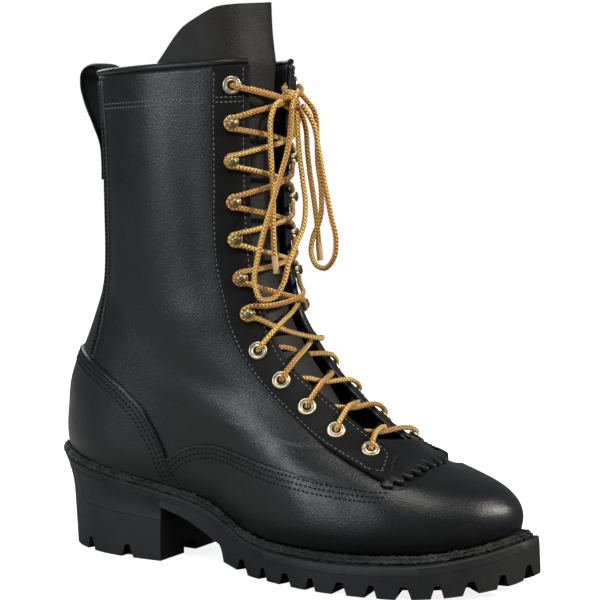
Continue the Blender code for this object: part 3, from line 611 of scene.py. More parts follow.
# %% Routes of the bow
KNOT = np.array((161.3, -4.0, 270.0))
LOOP_LATERAL = ((165.2, -8.8, 264.6), (166, -12, 252), (165.5, -15, 240), (164, -20, 227), (163, -26, 214),
                (161.5, -33, 198), (159.5, -37.5, 182), (158.5, -39, 167), (161.5, -37, 158.5),
                (165.5, -30, 159), (168.5, -25, 166), (169, -19, 178), (169, -10.5, 188), (170, -4, 198),
                (170, -1.5, 210), (168.5, -2, 224), (167, -3.5, 240), (166.4, -4.5, 254),
                (165.6, -4.2, 263.2))
LOOP_MEDIAL = ((163.5, 3.8, 274), (170, 9, 263), (170.5, 11, 248), (171, 11, 234), (173.5, 10.5, 219),
               (173, 10.5, 202), (168, 10.5, 190), (167.5, 9.5, 182), (171.5, 8.5, 175), (178, 7, 173.5),
               (184.5, 6, 180), (186, 5.5, 190), (183, 5, 204), (178.5, 4.5, 225), (175.5, 4, 241),
               (172.5, 3.4, 256), (166.3, 1.2, 267.5))
END_LATERAL = ((160.6, -12.7, 269.5), (160.4, -18.5, 267.5), (159.5, -22.5, 260), (158.8, -22, 248),
               (158.6, -20.5, 234), (158.6, -18.6, 219), (159, -19.2, 203), (160.6, -21.2, 187),
               (162.6, -21.8, 172))
END_MEDIAL = ((160, 4.0, 267.4), (160, 11, 262.5), (160.8, 15.2, 253), (161.2, 16.2, 241), (162.5, 16.8, 228),
              (165, 17, 213), (167, 17, 200), (168.5, 16.5, 188), (170, 16, 177))
BOW = {"lace_loop_lateral": LOOP_LATERAL, "lace_loop_medial": LOOP_MEDIAL,
       "lace_end_lateral": END_LATERAL, "lace_end_medial": END_MEDIAL}

# %% Hang the cords
LACE_STEP = 0.9
TIP_LENGTH = 11.0
TIP_RADIUS = 1.85


def hang_cord(node, route):
    """One free length of the bow, with its own length and its way."""
    line = smooth_track(route, LACE_STEP)
    piece = swept(node + "_braid", line, LACE_RADIUS, LACE_YARN)
    dress(piece, "lace_yarn", node)
    is_end = "end" in node
    if is_end:
        tip_line = line[-int(TIP_LENGTH / LACE_STEP):]
        tip = swept(node + "_tip", tip_line, TIP_RADIUS, AGLET)
        dress(tip, "lace_yarn")
    length = float(run_length(line)[-1]) * MM
    [tuple(spot) for spot in in_metres(line)]
    print(node, "is", round(length / MM), "mm long")


for node_name, node_route in BOW.items():
    hang_cord(node_name, node_route)


# %% The knot
def knot_turn(offsets):
    return smooth_track(KNOT + np.array(offsets), 0.7)


WRAP_STEPS, WRAP_START, WRAP_SWEEP = 26, 0.3, 3.7 * math.pi
wrap_angle = np.linspace(WRAP_START, WRAP_START + WRAP_SWEEP, WRAP_STEPS)
WRAP = np.stack([3.4 * np.cos(wrap_angle), np.linspace(-3.4, 2.6, WRAP_STEPS), 4.4 * np.sin(wrap_angle)], -1)
KNOT_TURNS = (
    WRAP,
    ((-1.5, -8.4, 0.6), (1.5, -6, 1.5), (3.3, -2, 1.0), (3.5, 2, -1.0), (2.0, 5.5, -1.8)),
    ((3.8, -4.6, -5.4), (3.6, -3, -1.5), (3.9, -0.5, 2.0), (2.6, 3.2, 3.8), (2.0, 6.5, 3.6)),
    ((-2.5, -5, -1), (-1, 0, 0), (-1.5, 6, -2.4)),
)


def join_pieces(name, pieces):
    """Joins meshes into the first one, through bmesh, so no operator is needed."""
    work = bmesh.new()
    for piece in pieces:
        work.from_mesh(piece.data)
    first = pieces[0]
    work.to_mesh(first.data)
    work.free()
    for piece in pieces[1:]:
        bpy.data.objects.remove(piece, do_unlink=True)
    first.name = name
    return first


turns = [swept(f"knot_turn_{k}", knot_turn(offsets), LACE_RADIUS, LACE_YARN)
         for k, offsets in enumerate(KNOT_TURNS)]
dress(join_pieces("bow_knot", turns), "lace_yarn", "lace_knot")

# %% [markdown]
# ## The lacing
#
# One lace runs from the lowest pair of eyelets up both sides. In the eyelets it comes out from
# inside, crosses over its own facing and dives under the other. On the hooks it goes round behind
# each neck. Way points are set beside each hole, and a smooth curve is drawn through them. Between
# two eyelets a pulled lace is straight, so the points on the throat's edges lie in one plane with both
# holes and the camera. The other side mirrors them, except on its way up to the first hook.

# %% Rows of holes
Row = namedtuple("Row", "level angle kind")
ROWS = (
    Row(4.26, 0.64, "eyelet"), Row(4.73, 0.73, "eyelet"), Row(5.24, 0.79, "eyelet"),
    Row(5.80, 0.83, "eyelet"), Row(6.44, 0.86, "eyelet"),
    Row(7.26, 0.77, "hook"), Row(7.97, 0.74, "hook"), Row(8.58, 0.73, "hook"),
    Row(9.12, 0.71, "hook"), Row(9.68, 0.72, "hook"), Row(10.19, 0.72, "hook"),
    Row(10.70, 0.73, "eyelet"),
)
SIDES = {"lateral": -1, "medial": 1}
FACING_TOP = 1.9
TAB_START, TAB_RAMP, TAB_RISE = 4.75, 0.7, 2.6


def tab_lift(level):
    """How far the lower end of the eyestay rises to lie over the kiltie."""
    start = np.clip((TAB_START - np.asarray(level)) / TAB_RAMP, 0, 1)
    return TAB_RISE * start**2 * (3 - 2 * start)


def seat(row, side):
    """Middle of a hole on the facing, with its outward, upward and throatward directions."""
    angle = np.array(side * row.angle)
    out = upper_normal(row.level, angle)
    rise = unit(upper_point(row.level + 0.05, angle) - upper_point(row.level - 0.05, angle))
    inward = np.cross(out, rise) * side
    return laid(row.level, angle, tab_lift(row.level)), out, rise, unit(inward)


# %% Where a strand crosses the throat
LACE_RISE = FACING_TOP + LACE_RADIUS + 0.15
OVER, UNDER, BENEATH = 1.9, -1.7, -3.3
HOOK_NECK = 3.3
ON_TONGUE = 1.6
UP_TO_HOOK = (0.2, 0.72)
AT_EDGE = 0.99
CLIMB_STEP, CLIMB_ANGLE = 0.1, np.array(0.7)


def straight_levels(row, after, heights):
    """Levels at which the lateral strand passes both edges when it looks straight in the picture."""
    first, last = seat(row, -1)[0], seat(after, 1)[0]
    flat = np.cross(last - first, np.array(CAMERA_SPOT) / MM - first)
    levels = np.linspace(row.level - 0.2, after.level + 0.2, 300)
    found = []
    for turn, height in zip((-1, 1), heights):
        track = laid(levels, AT_EDGE * turn * throat_angle(levels), np.full(len(levels), height))
        found.append(levels[np.argmin(np.abs((track - first) @ flat))])
    return found


def eyelet_crossing(row, after, side):
    """Over the near edge, straight across the open throat and under the far edge, alike on both sides."""
    heights = (LACE_RISE, BENEATH if after.kind == "eyelet" else LACE_RISE)
    levels = straight_levels(row, after, heights)
    if after.kind == "hook" and side > 0:
        levels = [row.level + share * (after.level - row.level) for share in UP_TO_HOOK]
    edge, far_edge = (laid(level, np.array(AT_EDGE * turn * throat_angle(level)), np.array(height))
                      for level, turn, height in zip(levels, (side, -side), heights))
    out = upper_normal((row.level + after.level) / 2, np.array(0.0))
    return [edge, (edge + far_edge) / 2 + out * (OVER if side < 0 else UNDER), far_edge]


def hook_crossing(row, after, side):
    """Flat over the tongue, with an even climb from hook to hook."""
    step = upper_point(row.level + CLIMB_STEP, CLIMB_ANGLE) - upper_point(row.level, CLIMB_ANGLE)
    climb = np.linalg.norm(step) / CLIMB_STEP
    low = row.level + HOOK_NECK / climb
    high = after.level - (HOOK_NECK / climb if after.kind == "hook" else 0)
    share = 0.5 - 0.5 * throat_angle(low) / row.angle
    middle = ON_TONGUE + (OVER if side < 0 else UNDER)
    heights = (LACE_RISE, middle, LACE_RISE if after.kind == "hook" else BENEATH)
    points = []
    for along, height in zip((share, 0.5, 1 - share), heights):
        level = low + (high - low) * along
        angle = AT_EDGE * side * throat_angle(level) * np.sign(0.5 - along)
        points.append(laid(level, np.array(angle), np.array(height)))
    return points


def crossing(row, after, side):
    return (hook_crossing if row.kind == "hook" else eyelet_crossing)(row, after, side)


# %% Way points of one strand
def towards(spot, target, out):
    """Direction from a hole to a target, along the leather."""
    way = target - spot
    return unit(way - out * (way @ out))


def at_eyelet(row, side, before, after):
    """From under the facing, up through the hole and away towards the next point."""
    spot, out, *_ = seat(row, side)
    come = towards(spot, before, out)
    leave = towards(spot, after, out)
    arrive = 0.5 * np.linalg.norm(before - spot)
    reach = np.clip(0.55 * np.linalg.norm(after - spot), 5, 8)
    ways = ((-3.5, come, arrive), (-3.0, come, 1.8), (-0.2, leave, 0.2), (FACING_TOP + 1.2, leave, 0.9),
            (LACE_RISE + 0.6, leave, 2.8), (LACE_RISE, leave, reach))
    return [spot + out * height + way * by for height, way, by in ways]


def at_hook(row, side):
    """Round behind the neck of a hook, from below to above."""
    spot, out, rise, inward = seat(row, side)
    ring = ((1.6, -1.0), (-1.4, -0.86), (-HOOK_NECK, 0), (-1.4, 0.86), (1.6, 1.0))
    return [spot + out * LACE_RISE + inward * a + rise * b * HOOK_NECK for a, b in ring]


FIRST_TURN, FIRST_DEPTH = 0.3, -3.4
LACING_STEP = 1.1


def strand(side, knot_side):
    """All way points from the first eyelet on one side up to the knot."""
    points = []
    before = laid(ROWS[0].level, np.array(FIRST_TURN * side), np.array(FIRST_DEPTH))
    for row, after in zip(ROWS, (*ROWS[1:], None)):
        legs = crossing(row, after, side) if after else [knot_side]
        points += at_eyelet(row, side, before, legs[0]) if row.kind == "eyelet" else at_hook(row, side)
        points += legs
        before = legs[-1]
        side = -side
    return points


lateral = strand(-1, KNOT + (0.5, 6.5, 1.5))
medial = strand(1, KNOT + (0.0, -7.5, 0.8))
first_seats = [laid(ROWS[0].level + 0.05, np.array(angle), np.array(FIRST_DEPTH))
               for angle in (-FIRST_TURN, 0.0, FIRST_TURN)]
lacing = smooth_track(np.array([*lateral[::-1], *first_seats, *medial]), LACING_STEP)
lacing_piece = swept("lacing", lacing, LACE_RADIUS - 0.05, LACE_YARN)
dress(lacing_piece, "lace_yarn", *(f"lace_cross_{k:02d}" for k in range(1, len(ROWS))))

# %% [markdown]
# ## Pieces that repeat: eyelets and hooks
#
# Two turned shapes are repeated over twelve rows a side. Geometry Nodes puts them there: the points
# are the holes, and each one carries two directions, out of the leather and along it. The tree
# turns an instance to both, makes the instances real and gives them their finish.


# %% A node tree that sets a shape on points
def new_tree(name, *inputs):
    """A tree with a Geometry output and named inputs, and the node that gives them."""
    tree = bpy.data.node_groups.new(name, "GeometryNodeTree")
    tree.interface.new_socket("Geometry", in_out="OUTPUT", socket_type="NodeSocketGeometry")
    for label, kind in (("Geometry", "Geometry"), *inputs, ("Finish", "Material")):
        tree.interface.new_socket(label, in_out="INPUT", socket_type="NodeSocket" + kind)
    return tree, tree.nodes.new("NodeGroupInput")


def stored_vector(tree, name):
    """A direction or a size that is stored on the points."""
    read = tree.nodes.new("GeometryNodeInputNamedAttribute")
    read.data_type = "FLOAT_VECTOR"
    read.inputs["Name"].default_value = name
    return read.outputs["Attribute"]


def turned_to_points(tree):
    """The rotation that points z along 'out' and x along 'along', both stored on the points."""
    turn = None
    for axis, attribute in (("Z", "out"), ("X", "along")):
        align = tree.nodes.new("FunctionNodeAlignRotationToVector")
        align.axis = axis
        align.pivot_axis = "AUTO" if axis == "Z" else "Z"
        tree.links.new(stored_vector(tree, attribute), align.inputs["Vector"])
        if turn:
            tree.links.new(turn, align.inputs["Rotation"])
        turn = align.outputs["Rotation"]
    return turn


def given_shape(tree, source, name):
    """The mesh of an object that is one of the tree's inputs."""
    shape = tree.nodes.new("GeometryNodeObjectInfo")
    tree.links.new(source.outputs[name], shape.inputs["Object"])
    return shape.outputs["Geometry"]


def set_on_points(tree, source, shape):
    """The node that sets a shape on each point, turned by the point's directions."""
    place = tree.nodes.new("GeometryNodeInstanceOnPoints")
    tree.links.new(source.outputs["Geometry"], place.inputs["Points"])
    tree.links.new(shape, place.inputs["Instance"])
    tree.links.new(turned_to_points(tree), place.inputs["Rotation"])
    return place


def finish_tree(tree, geometry, source):
    """Closes a tree: real instances, smooth shading, finish."""
    real = tree.nodes.new("GeometryNodeRealizeInstances")
    shade = tree.nodes.new("GeometryNodeSetShadeSmooth")
    paint = tree.nodes.new("GeometryNodeSetMaterial")
    ends = tree.nodes.new("NodeGroupOutput")
    tree.links.new(geometry, real.inputs["Geometry"])
    tree.links.new(real.outputs["Geometry"], shade.inputs["Geometry"])
    tree.links.new(shade.outputs["Geometry"], paint.inputs["Geometry"])
    tree.links.new(source.outputs["Finish"], paint.inputs["Material"])
    tree.links.new(paint.outputs["Geometry"], ends.inputs["Geometry"])


def shape_tree():
    tree, source = new_tree("shape_on_points", ("Shape", "Object"))
    place = set_on_points(tree, source, given_shape(tree, source, "Shape"))
    finish_tree(tree, place.outputs["Instances"], source)
    return tree


# %% Run a tree over points
Spot = namedtuple("Spot", "place out along")


def apply_modifiers(piece):
    graph = bpy.context.evaluated_depsgraph_get()
    made = bpy.data.meshes.new_from_object(piece.evaluated_get(graph))
    piece.modifiers.clear()
    piece.data = made


def over_points(name, spots, tree, finish, **settings):
    """A plain mesh from a node tree that works on points, with what each of them carries."""
    mesh = bpy.data.meshes.new(name)
    mesh.from_pydata(in_metres([spot.place for spot in spots]).tolist(), [], [])
    for attribute in spots[0]._fields[1:]:
        values = np.array([getattr(spot, attribute) for spot in spots], np.float32)
        mesh.attributes.new(attribute, "FLOAT_VECTOR", "POINT").data.foreach_set("vector", values.ravel())
    piece = bpy.data.objects.new(name, mesh)
    BOOT.objects.link(piece)
    modifier = piece.modifiers.new("nodes", "NODES")
    modifier.node_group = tree
    sockets = {item.name: item.identifier for item in tree.interface.items_tree if item.in_out == "INPUT"}
    for key, value in {"finish": finish, **settings}.items():
        modifier[sockets[key.capitalize()]] = value
    apply_modifiers(piece)
    return piece


TURNED_SIDES = 28


def turned(name, section, finish):
    """A shape turned about z from (radius, height) points, as a helper for instances."""
    angle = 2 * math.pi * np.arange(TURNED_SIDES) / TURNED_SIDES
    points = [(radius * math.cos(a) + HEEL_CENTRE, radius * math.sin(a), height)
              for radius, height in section for a in angle]
    return mesh_piece(name, points, ring_faces(len(section), TURNED_SIDES), finish, smooth=60)


# %% Eyelets and hooks
EYELET_SECTION = ((2.35, -3.2), (2.35, 0.9), (2.6, 1.25), (3.2, 1.15), (3.55, 0.95), (4.0, 1.25), (4.7, 1.3),
                  (5.15, 0.95), (5.3, 0.45), (5.25, 0.0), (4.2, -0.3), (3.0, -3.2), (2.35, -3.2))
HOOK_SECTION = ((0.001, 6.1), (0.9, 6.03), (1.7, 5.8), (2.3, 5.45), (2.42, 5.25), (2.65, 5.3), (2.9, 5.15),
                (2.98, 4.9), (2.85, 4.65), (2.3, 4.5), (1.5, 4.3), (1.2, 3.6), (1.2, 1.4), (1.9, 0.85),
                (3.6, 0.65), (4.2, 0.35), (4.2, -0.3), (0.001, -0.3))
SET_SHAPE = shape_tree()


def hardware(name, kind, section, finish, slot):
    shape = turned(name + "_shape", section, finish)
    spots, nodes = [], []
    for side_name, side in SIDES.items():
        for number, row in enumerate(ROWS, 1):
            if row.kind == kind:
                spot, out, _, inward = seat(row, side)
                spots.append(Spot(spot + out * FACING_TOP, out, inward))
                nodes.append(f"{kind}_{side_name}_{number:02d}")
    piece = over_points(name, spots, SET_SHAPE, finish, shape=shape)
    bpy.data.objects.remove(shape, do_unlink=True)
    return dress(piece, slot, *nodes)


hardware("eyelets", "eyelet", EYELET_SECTION, PALE_BRASS, "pale_brass")
hardware("speed_hooks", "hook", HOOK_SECTION, ANTIQUE_BRASS, "antique_brass")

# %% [markdown]
# ## The quarters
#
# The body of the upper is one wall of leather from the welt to the topline, open at the throat. A
# Solidify modifier gives it its thickness and puts the lining on its inner face.

# %% The wall of the upper
WALL = 2.4
QUARTER_ROWS, QUARTER_COLUMNS = 110, 190


def make_quarters():
    level = np.linspace(0, TOPLINE, QUARTER_ROWS)[:, None]
    opening = throat_angle(level)
    share = np.linspace(0, 1, QUARTER_COLUMNS + 1)[None, :]
    angle = opening + (2 * math.pi - 2 * opening) * share
    points = laid(level, angle, np.zeros(angle.shape))
    piece = mesh_piece("quarters", points.reshape(-1, 3), grid_faces(*points.shape[:2]), OILED_LEATHER)
    piece.data.materials.append(LINING_LEATHER)
    face_out(piece.data)
    wall = piece.modifiers.new("wall", "SOLIDIFY")
    wall.thickness = WALL * MM
    wall.offset = -1
    wall.material_offset = 1
    apply_modifiers(piece)
    return dress(piece, "upper_leather", "upper")


def face_out(mesh):
    """Turns an open shell whose faces look at its own middle."""
    work = bmesh.new()
    work.from_mesh(mesh)
    middle = sum((vert.co for vert in work.verts), Vector()) / len(work.verts)
    facing = sum(face.normal.dot(face.calc_center_median() - middle) * face.calc_area()
                 for face in work.faces)
    if facing < 0:
        bmesh.ops.reverse_faces(work, faces=work.faces)
    work.to_mesh(mesh)
    work.free()


make_quarters()

# %% [markdown]
# ## Leather laid on the quarters
#
# Counter, vamp, backstay and eyestays are cut panels. Each is drawn between two edge lines on the
# last. Rows of points crowd together at the edges, where the height falls off in a quarter circle,
# so that a cut edge catches the light as real leather does.

# %% A panel between two edge lines
EDGE_STEPS = (0.0, 0.25, 0.6, 1.1, 1.8)
EDGE_ROUND = 1.3
PANEL_SINK = 0.5
WORN_WIDTH, MOST_WORN = 1.4, 0.8


def track_points(track, count):
    """An edge line of (level, angle), resampled evenly in true length."""
    track = np.asarray(track, float)
    fine = smooth_track(track, count=400)
    spots = upper_point(fine[:, 0], fine[:, 1])
    length = run_length(spots)
    return read_at(np.linspace(0, length[-1], count), length, fine)


def panel_grid(low, high, rows):
    """Levels and angles over a panel, with rows crowded at its two long edges."""
    share = np.linspace(0, 1, 9)[:, None, None]
    spans = upper_point(*np.moveaxis(low + (high - low) * share, -1, 0))
    width = np.linalg.norm(np.diff(spans, axis=0), axis=-1).sum(0)
    steps = np.array(EDGE_STEPS)[:, None]
    most = 0.3 * np.arange(len(EDGE_STEPS))[:, None] / len(EDGE_STEPS)
    near = np.minimum(steps / np.maximum(width, 1e-6), most)
    inside = near[-1] + (1 - 2 * near[-1]) * np.linspace(0, 1, rows + 2)[1:-1, None]
    shares = np.concatenate([near, inside, 1 - near[::-1]])[..., None]
    return low + (high - low) * shares


def search_tree(points):
    """Finds the nearest of many points quickly."""
    tree = KDTree(len(points))
    for k, spot in enumerate(points):
        tree.insert(spot, k)
    tree.balance()
    return tree


def edge_distance(spots):
    """Distance in millimetres of each point of a grid from the grid's border."""
    tree = search_tree(np.concatenate([spots[0], spots[-1], spots[:, 0], spots[:, -1]]))
    flat = spots.reshape(-1, 3)
    return np.array([tree.find(spot)[2] for spot in flat]).reshape(spots.shape[:2])


def panel(name, low, high, thick, finish, rows=16, lift=None):
    """A leather panel on the last. lift gives extra height from its levels and angles."""
    grid = panel_grid(low, high, rows)
    level, angle = grid[..., 0], grid[..., 1]
    away = edge_distance(upper_point(level, angle))
    rounded = np.sqrt(1 - (1 - np.clip(away / EDGE_ROUND, 0, 1)) ** 2)
    extra = lift(level, angle) if lift else 0
    top = laid(level, angle, (thick + PANEL_SINK) * rounded - PANEL_SINK + extra)
    under = laid(level, angle, np.full(level.shape, -PANEL_SINK) + extra)
    piece = sheet_piece(name, top, under, finish)
    return mark_edges(piece, top, away)


def mark_edges(piece, top, away):
    """Stores on each vertex how near it is to a cut edge, for the finish to read."""
    tree = search_tree(in_metres(top.reshape(-1, 3)))
    near = np.clip(1 - away.ravel() / WORN_WIDTH, 0, 1) * MOST_WORN
    values = [near[tree.find(vert.co)[1]] for vert in piece.data.vertices]
    piece.data.attributes.new("edge", "FLOAT", "POINT").data.foreach_set("value", values)
    return piece


# %% Counter and vamp
COUNTER_THICK, VAMP_THICK = 2.3, 1.5
COUNTER_EDGE = ((0.0, 1.92), (0.53, 1.95), (1.28, 1.98), (1.87, 2.00), (2.63, 2.04), (3.49, 2.11),
                (4.26, 2.34), (4.52, 2.60), (4.61, 2.91), (4.62, 3.1416))
VAMP_EDGE = ((0.0, 2.05), (0.8, 2.04), (1.54, 1.97), (2.01, 1.91), (2.57, 1.79), (2.92, 1.67), (3.06, 1.55),
             (3.03, 1.42), (2.99, 1.27), (2.95, 1.16), (2.95, 1.05), (2.95, 0.90), (2.98, 0.80), (3.22, 0.66),
             (3.62, 0.48), (3.92, 0.26), (4.0, 0.0))


def both_sides(edge, turn):
    """An edge line from one side to the other: through the toe (turn 0) or the heel (one turn)."""
    edge = np.asarray(edge, float)
    mirrored = edge[::-1][1:] * (1, -1) + (0, turn)
    return np.concatenate([edge, mirrored])


def welted_panel(name, node, high, thick, rows):
    """A panel that runs from the welt up to an edge line."""
    low = np.stack([np.zeros(len(high)), np.linspace(high[0, 1], high[-1, 1], len(high))], -1)
    dress(panel(name, low, high, thick, OILED_LEATHER, rows), "upper_leather", node)


counter_top = track_points(both_sides(COUNTER_EDGE, 2 * math.pi), 150)
welted_panel("heel_counter", "counter", counter_top, COUNTER_THICK, 34)
vamp_top = track_points(both_sides(VAMP_EDGE, 0), 240)
welted_panel("vamp_panel", "vamp", vamp_top, VAMP_THICK, 44)

# %% Backstay and eyestays
BACKSTAY_EDGE = ((4.40, 2.50), (5.42, 2.47), (6.78, 2.48), (8.60, 2.41), (10.9, 2.36))
EYESTAY_REAR = ((10.98, 0.95), (9.29, 0.95), (8.72, 0.98), (8.2, 1.00), (7.59, 1.00), (6.77, 1.04),
                (6.08, 1.06), (5.56, 1.04), (5.04, 0.995), (4.30, 0.95), (3.88, 0.90), (3.50, 0.85),
                (3.25, 0.81), (3.2, 0.79))
EYESTAY_FRONT = ((10.98, 0.54), *THROAT[-2:2:-1], (4.4, 0.44), (4.2, 0.46), (4.08, 0.50), (4.0, 0.55),
                 (3.9, 0.585))

back_one = track_points(BACKSTAY_EDGE, 90)
back_two = back_one * (1, -1) + (0, 2 * math.pi)
dress(panel("backstay_strip", back_one, back_two, 1.0, OILED_LEATHER, rows=26), "upper_leather", "backstay")
for side_name, side in SIDES.items():
    rear = track_points(EYESTAY_REAR, 170) * (1, side)
    front = track_points(EYESTAY_FRONT, 170) * (1, side)
    stay = panel(f"eyestay_band_{side_name}", front, rear, FACING_TOP, FACING_LEATHER, rows=14,
                 lift=lambda level, angle: tab_lift(level))
    dress(stay, "upper_leather", f"eyestay_{side_name}")

# %% [markdown]
# ## Tongue and kiltie
#
# The tongue is a wide soft sheet of duller leather. It follows the last inside the throat, folds in
# on the inner side near the top, stands above the topline and leans back a little. The kiltie is the
# fringed flap over the foot of the throat. Its teeth come from the edge line itself: the line dips
# between them.

# %% The tongue
TONGUE_WIDTH = ((4.0, 0.50), (5, 0.75), (7, 1.05), (9, 1.35), (11, 1.56))
TONGUE_TOP = ((0, 325.5), (0.8, 323), (1.21, 313), (1.56, 291))
TONGUE_LEAN = 0.09
TONGUE_ROWS, TONGUE_COLUMNS, TONGUE_STAND_ROWS = 72, 61, 22
TONGUE_FOLDED_IN, FOLD_FROM, FOLD_SPAN, FOLD_LOW, FOLD_CLIMB = 15.0, -0.15, 0.75, 8.5, 2
TONGUE_THICK, TONGUE_PRESSED_IN, TONGUE_PRESSED_WIDE = 2.0, 2.4, 0.55
TONGUE_GAP = ((4, 12), (5.2, 12), (5.6, 9), (6.1, 5.2), (6.5, 4), (7.5, 2.6), (11, 1.6))


def make_tongue():
    levels = np.linspace(TONGUE_WIDTH[0][0], TOPLINE, TONGUE_ROWS)
    share = np.linspace(-1, 1, TONGUE_COLUMNS)[None, :]
    angle = through(levels, TONGUE_WIDTH)[:, None] * share
    by_lace = TONGUE_PRESSED_IN * np.exp(-((angle / TONGUE_PRESSED_WIDE) ** 2))
    sink = WALL + through(levels, TONGUE_GAP)[:, None] + by_lace
    part = np.clip((angle - FOLD_FROM) / FOLD_SPAN, 0, 1)
    high = np.clip((levels[:, None] - FOLD_LOW) / FOLD_CLIMB, 0, 1)
    sink = sink + TONGUE_FOLDED_IN * part**2 * (3 - 2 * part) * high + pressed(levels[:, None], angle)
    ripple = 0.5 * np.exp(-(((angle - 0.06) / 0.12) ** 2)) + 0.3 * np.sin(levels[:, None] * 2.3 + 3 * angle)
    level = np.minimum(levels, TOPLINE - 0.02)[:, None]
    normal = upper_normal(level, angle)
    rows = [*(upper_point(level, angle) + (ripple - sink)[..., None] * normal)]
    normals = [*normal]
    rim = rows[-1]
    rise = through(np.abs(angle[-1]), TONGUE_TOP) - rim[:, 2]
    for part in np.linspace(0, 1, TONGUE_STAND_ROWS)[1:]:
        bow = 1.6 * math.sin(math.pi * part) * np.cos(angle[-1])
        lean = np.stack([-TONGUE_LEAN * rise * part - bow * 0.4, 0 * rise, rise * part], -1)
        rows.append(rim + lean)
        normals.append(normal[-1])
    top = np.array(rows)
    under = top - TONGUE_THICK * np.array(normals)
    return dress(sheet_piece("tongue_sheet", top, under, TONGUE_LEATHER), "tongue_leather", "tongue")


make_tongue()

# %% The kiltie
KILTIE_FRONT = ((2.92, -0.84), (3.20, -0.72), (3.54, -0.56), (3.75, -0.43), (3.88, -0.30), (3.98, -0.14),
                (4.02, 0.05), (4.02, 0.22), (3.98, 0.38), (3.90, 0.52), (3.76, 0.64), (3.56, 0.74))
KILTIE_TEETH = 13
TOOTH_DEEP = 0.24
TOOTH_STEPS = 14
KILTIE_REAR, KILTIE_TAPER, KILTIE_THICK = 4.62, 0.62, 1.6
KILTIE_LIFT, TOE_LIFT, ROLL_LIFT = 1.2, 0.6, 2.6


def make_kiltie():
    count = KILTIE_TEETH * TOOTH_STEPS + 1
    front = track_points(KILTIE_FRONT, count)
    phase = (np.arange(count) % TOOTH_STEPS) / TOOTH_STEPS * 2 - 1
    gap = np.abs(phase) ** 3
    gap[[0, -1]] = 1
    front[:, 0] += TOOTH_DEEP * (gap - 0.15)
    rear = np.stack([np.full(count, KILTIE_REAR), front[:, 1] * KILTIE_TAPER], -1)

    def lift(level, angle):
        rolled = ROLL_LIFT * np.clip((angle - 0.15) / 0.5, 0, 1) ** 2
        ahead = np.clip((4.3 - level) / 1.0, 0, 1)
        return KILTIE_LIFT + rolled * ahead + TOE_LIFT * ahead

    flap = panel("fringed_kiltie", front, rear, KILTIE_THICK, OILED_LEATHER, rows=14, lift=lift)
    return dress(flap, "upper_leather", "kiltie")


make_kiltie()

# %% [markdown]
# ## Topline bead and pull loop
#
# A rolled edge closes the top of the shaft. Behind it a doubled strap makes the pull loop. Both are
# swept along a line, the bead with a round section and the strap with a flat one.

# %% The bead
BEAD_RADIUS, BEAD_INSIDE, BEAD_SUNK = 1.8, 0.6, 1.3


def make_bead():
    opening = float(throat_angle(TOPLINE))
    angle = np.linspace(opening + 0.02, 2 * math.pi - opening - 0.02, 170)
    middle = laid(np.full(angle.shape, float(TOPLINE)), angle, np.full(angle.shape, -BEAD_INSIDE))
    middle[:, 2] = upper_point(TOPLINE, angle)[:, 2] + BEAD_RADIUS - BEAD_SUNK
    bead = swept("topline_bead", middle, BEAD_RADIUS, OILED_LEATHER, sides=14)
    return dress(bead, "upper_leather", "top_bead")


make_bead()

# %% The pull loop
PULL_LOOP_LINE = ((34.6, 222), (34.5, 232), (33.4, 243), (28.4, 255), (22.4, 268), (19.6, 279), (20.6, 286),
                  (25, 289.4), (31, 289.6), (36.4, 287.5), (39.6, 281), (40.8, 268), (41.6, 257))
PULL_LOOP_WIDTH, PULL_LOOP_THICK = 20.0, 2.6


def make_pull_loop():
    line = smooth_track(PULL_LOOP_LINE, 1.4)
    run = unit(np.gradient(line, axis=0))
    side = np.stack([-run[:, 1], run[:, 0]], -1)
    across = np.sin(np.linspace(-1, 1, 15) * math.pi / 2)
    half = PULL_LOOP_THICK / 2 * (1 - 0.9 * np.abs(across) ** 9)
    grids = []
    for sign in (1, -1):
        flat = line[:, None, :] + sign * side[:, None, :] * half[None, :, None]
        y = np.broadcast_to(across * PULL_LOOP_WIDTH / 2, flat.shape[:2])
        grids.append(np.stack([flat[..., 0], y, flat[..., 1]], -1))
    return dress(sheet_piece("pull_strap", *grids, OILED_LEATHER), "upper_leather", "pull_loop")


make_pull_loop()

# %% [markdown]
# ## Sole and heel
#
# The welt, the midsole and the heel block are stacked plates. Each is lofted station by station
# from the heel to the toe, with the wall's own profile at every station. The outsole's lugs repeat,
# so a node tree cuts the notches between them: it sets a wedge on each point of the edge and takes
# all of them away in one Boolean.

# %% Outlines of the sole
Outline = namedtuple("Outline", "back front heel waist ball toe ball_swing toe_swing")
WELT_TOP = Outline(0.5, 307.5, 33.5, 32.5, 49, 38.2, -3, 6)
WELT_FOOT = Outline(2.0, 308, 33, 32.6, 49.4, 38.5, -3, 6)
MIDSOLE_TOP = Outline(2.6, 311.2, 32.6, 32.9, 51.6, 40.8, -3, 6)
MIDSOLE_FOOT = Outline(4.5, 311.6, 31.5, 32.8, 51.8, 41, -3, 6)
TREAD = Outline(6.0, 312.5, 32, 32.5, 52, 41, -3, 6)
STACK_FOOT = Outline(9.0, 300, 29.2, 32.6, 50, 40, -3, 6)
HEEL_FLOOR = Outline(11.0, 300, 28.8, 33, 50, 40, -3, 6)
SEAT = Outline(8.5, 300, 29.5, 27.5, 43, 33, -3, 5)
LUG_ROOT_LINE = ((90, 32.5), (105, 27.5), (119, 20.5), (133, 13.5), (146, 9.5), (160, 7), (250, 7),
                 (275, 8.5), (293, 11), (306, 14), (313, 17))
TREAD_LINE = ((133, 5), (146, 1.8), (160, 0), (250, 0), (275, 1.5), (293, 4), (306, 6.8), (313, 9.8))
LIFT_SEAM_LINE = ((0, 30.3), (100, 23.7))
WELT_THICK, MIDSOLE_THICK, FOOT_BEVEL, STACK_BEVEL = 3.8, 5.0, 0.12, 0.25
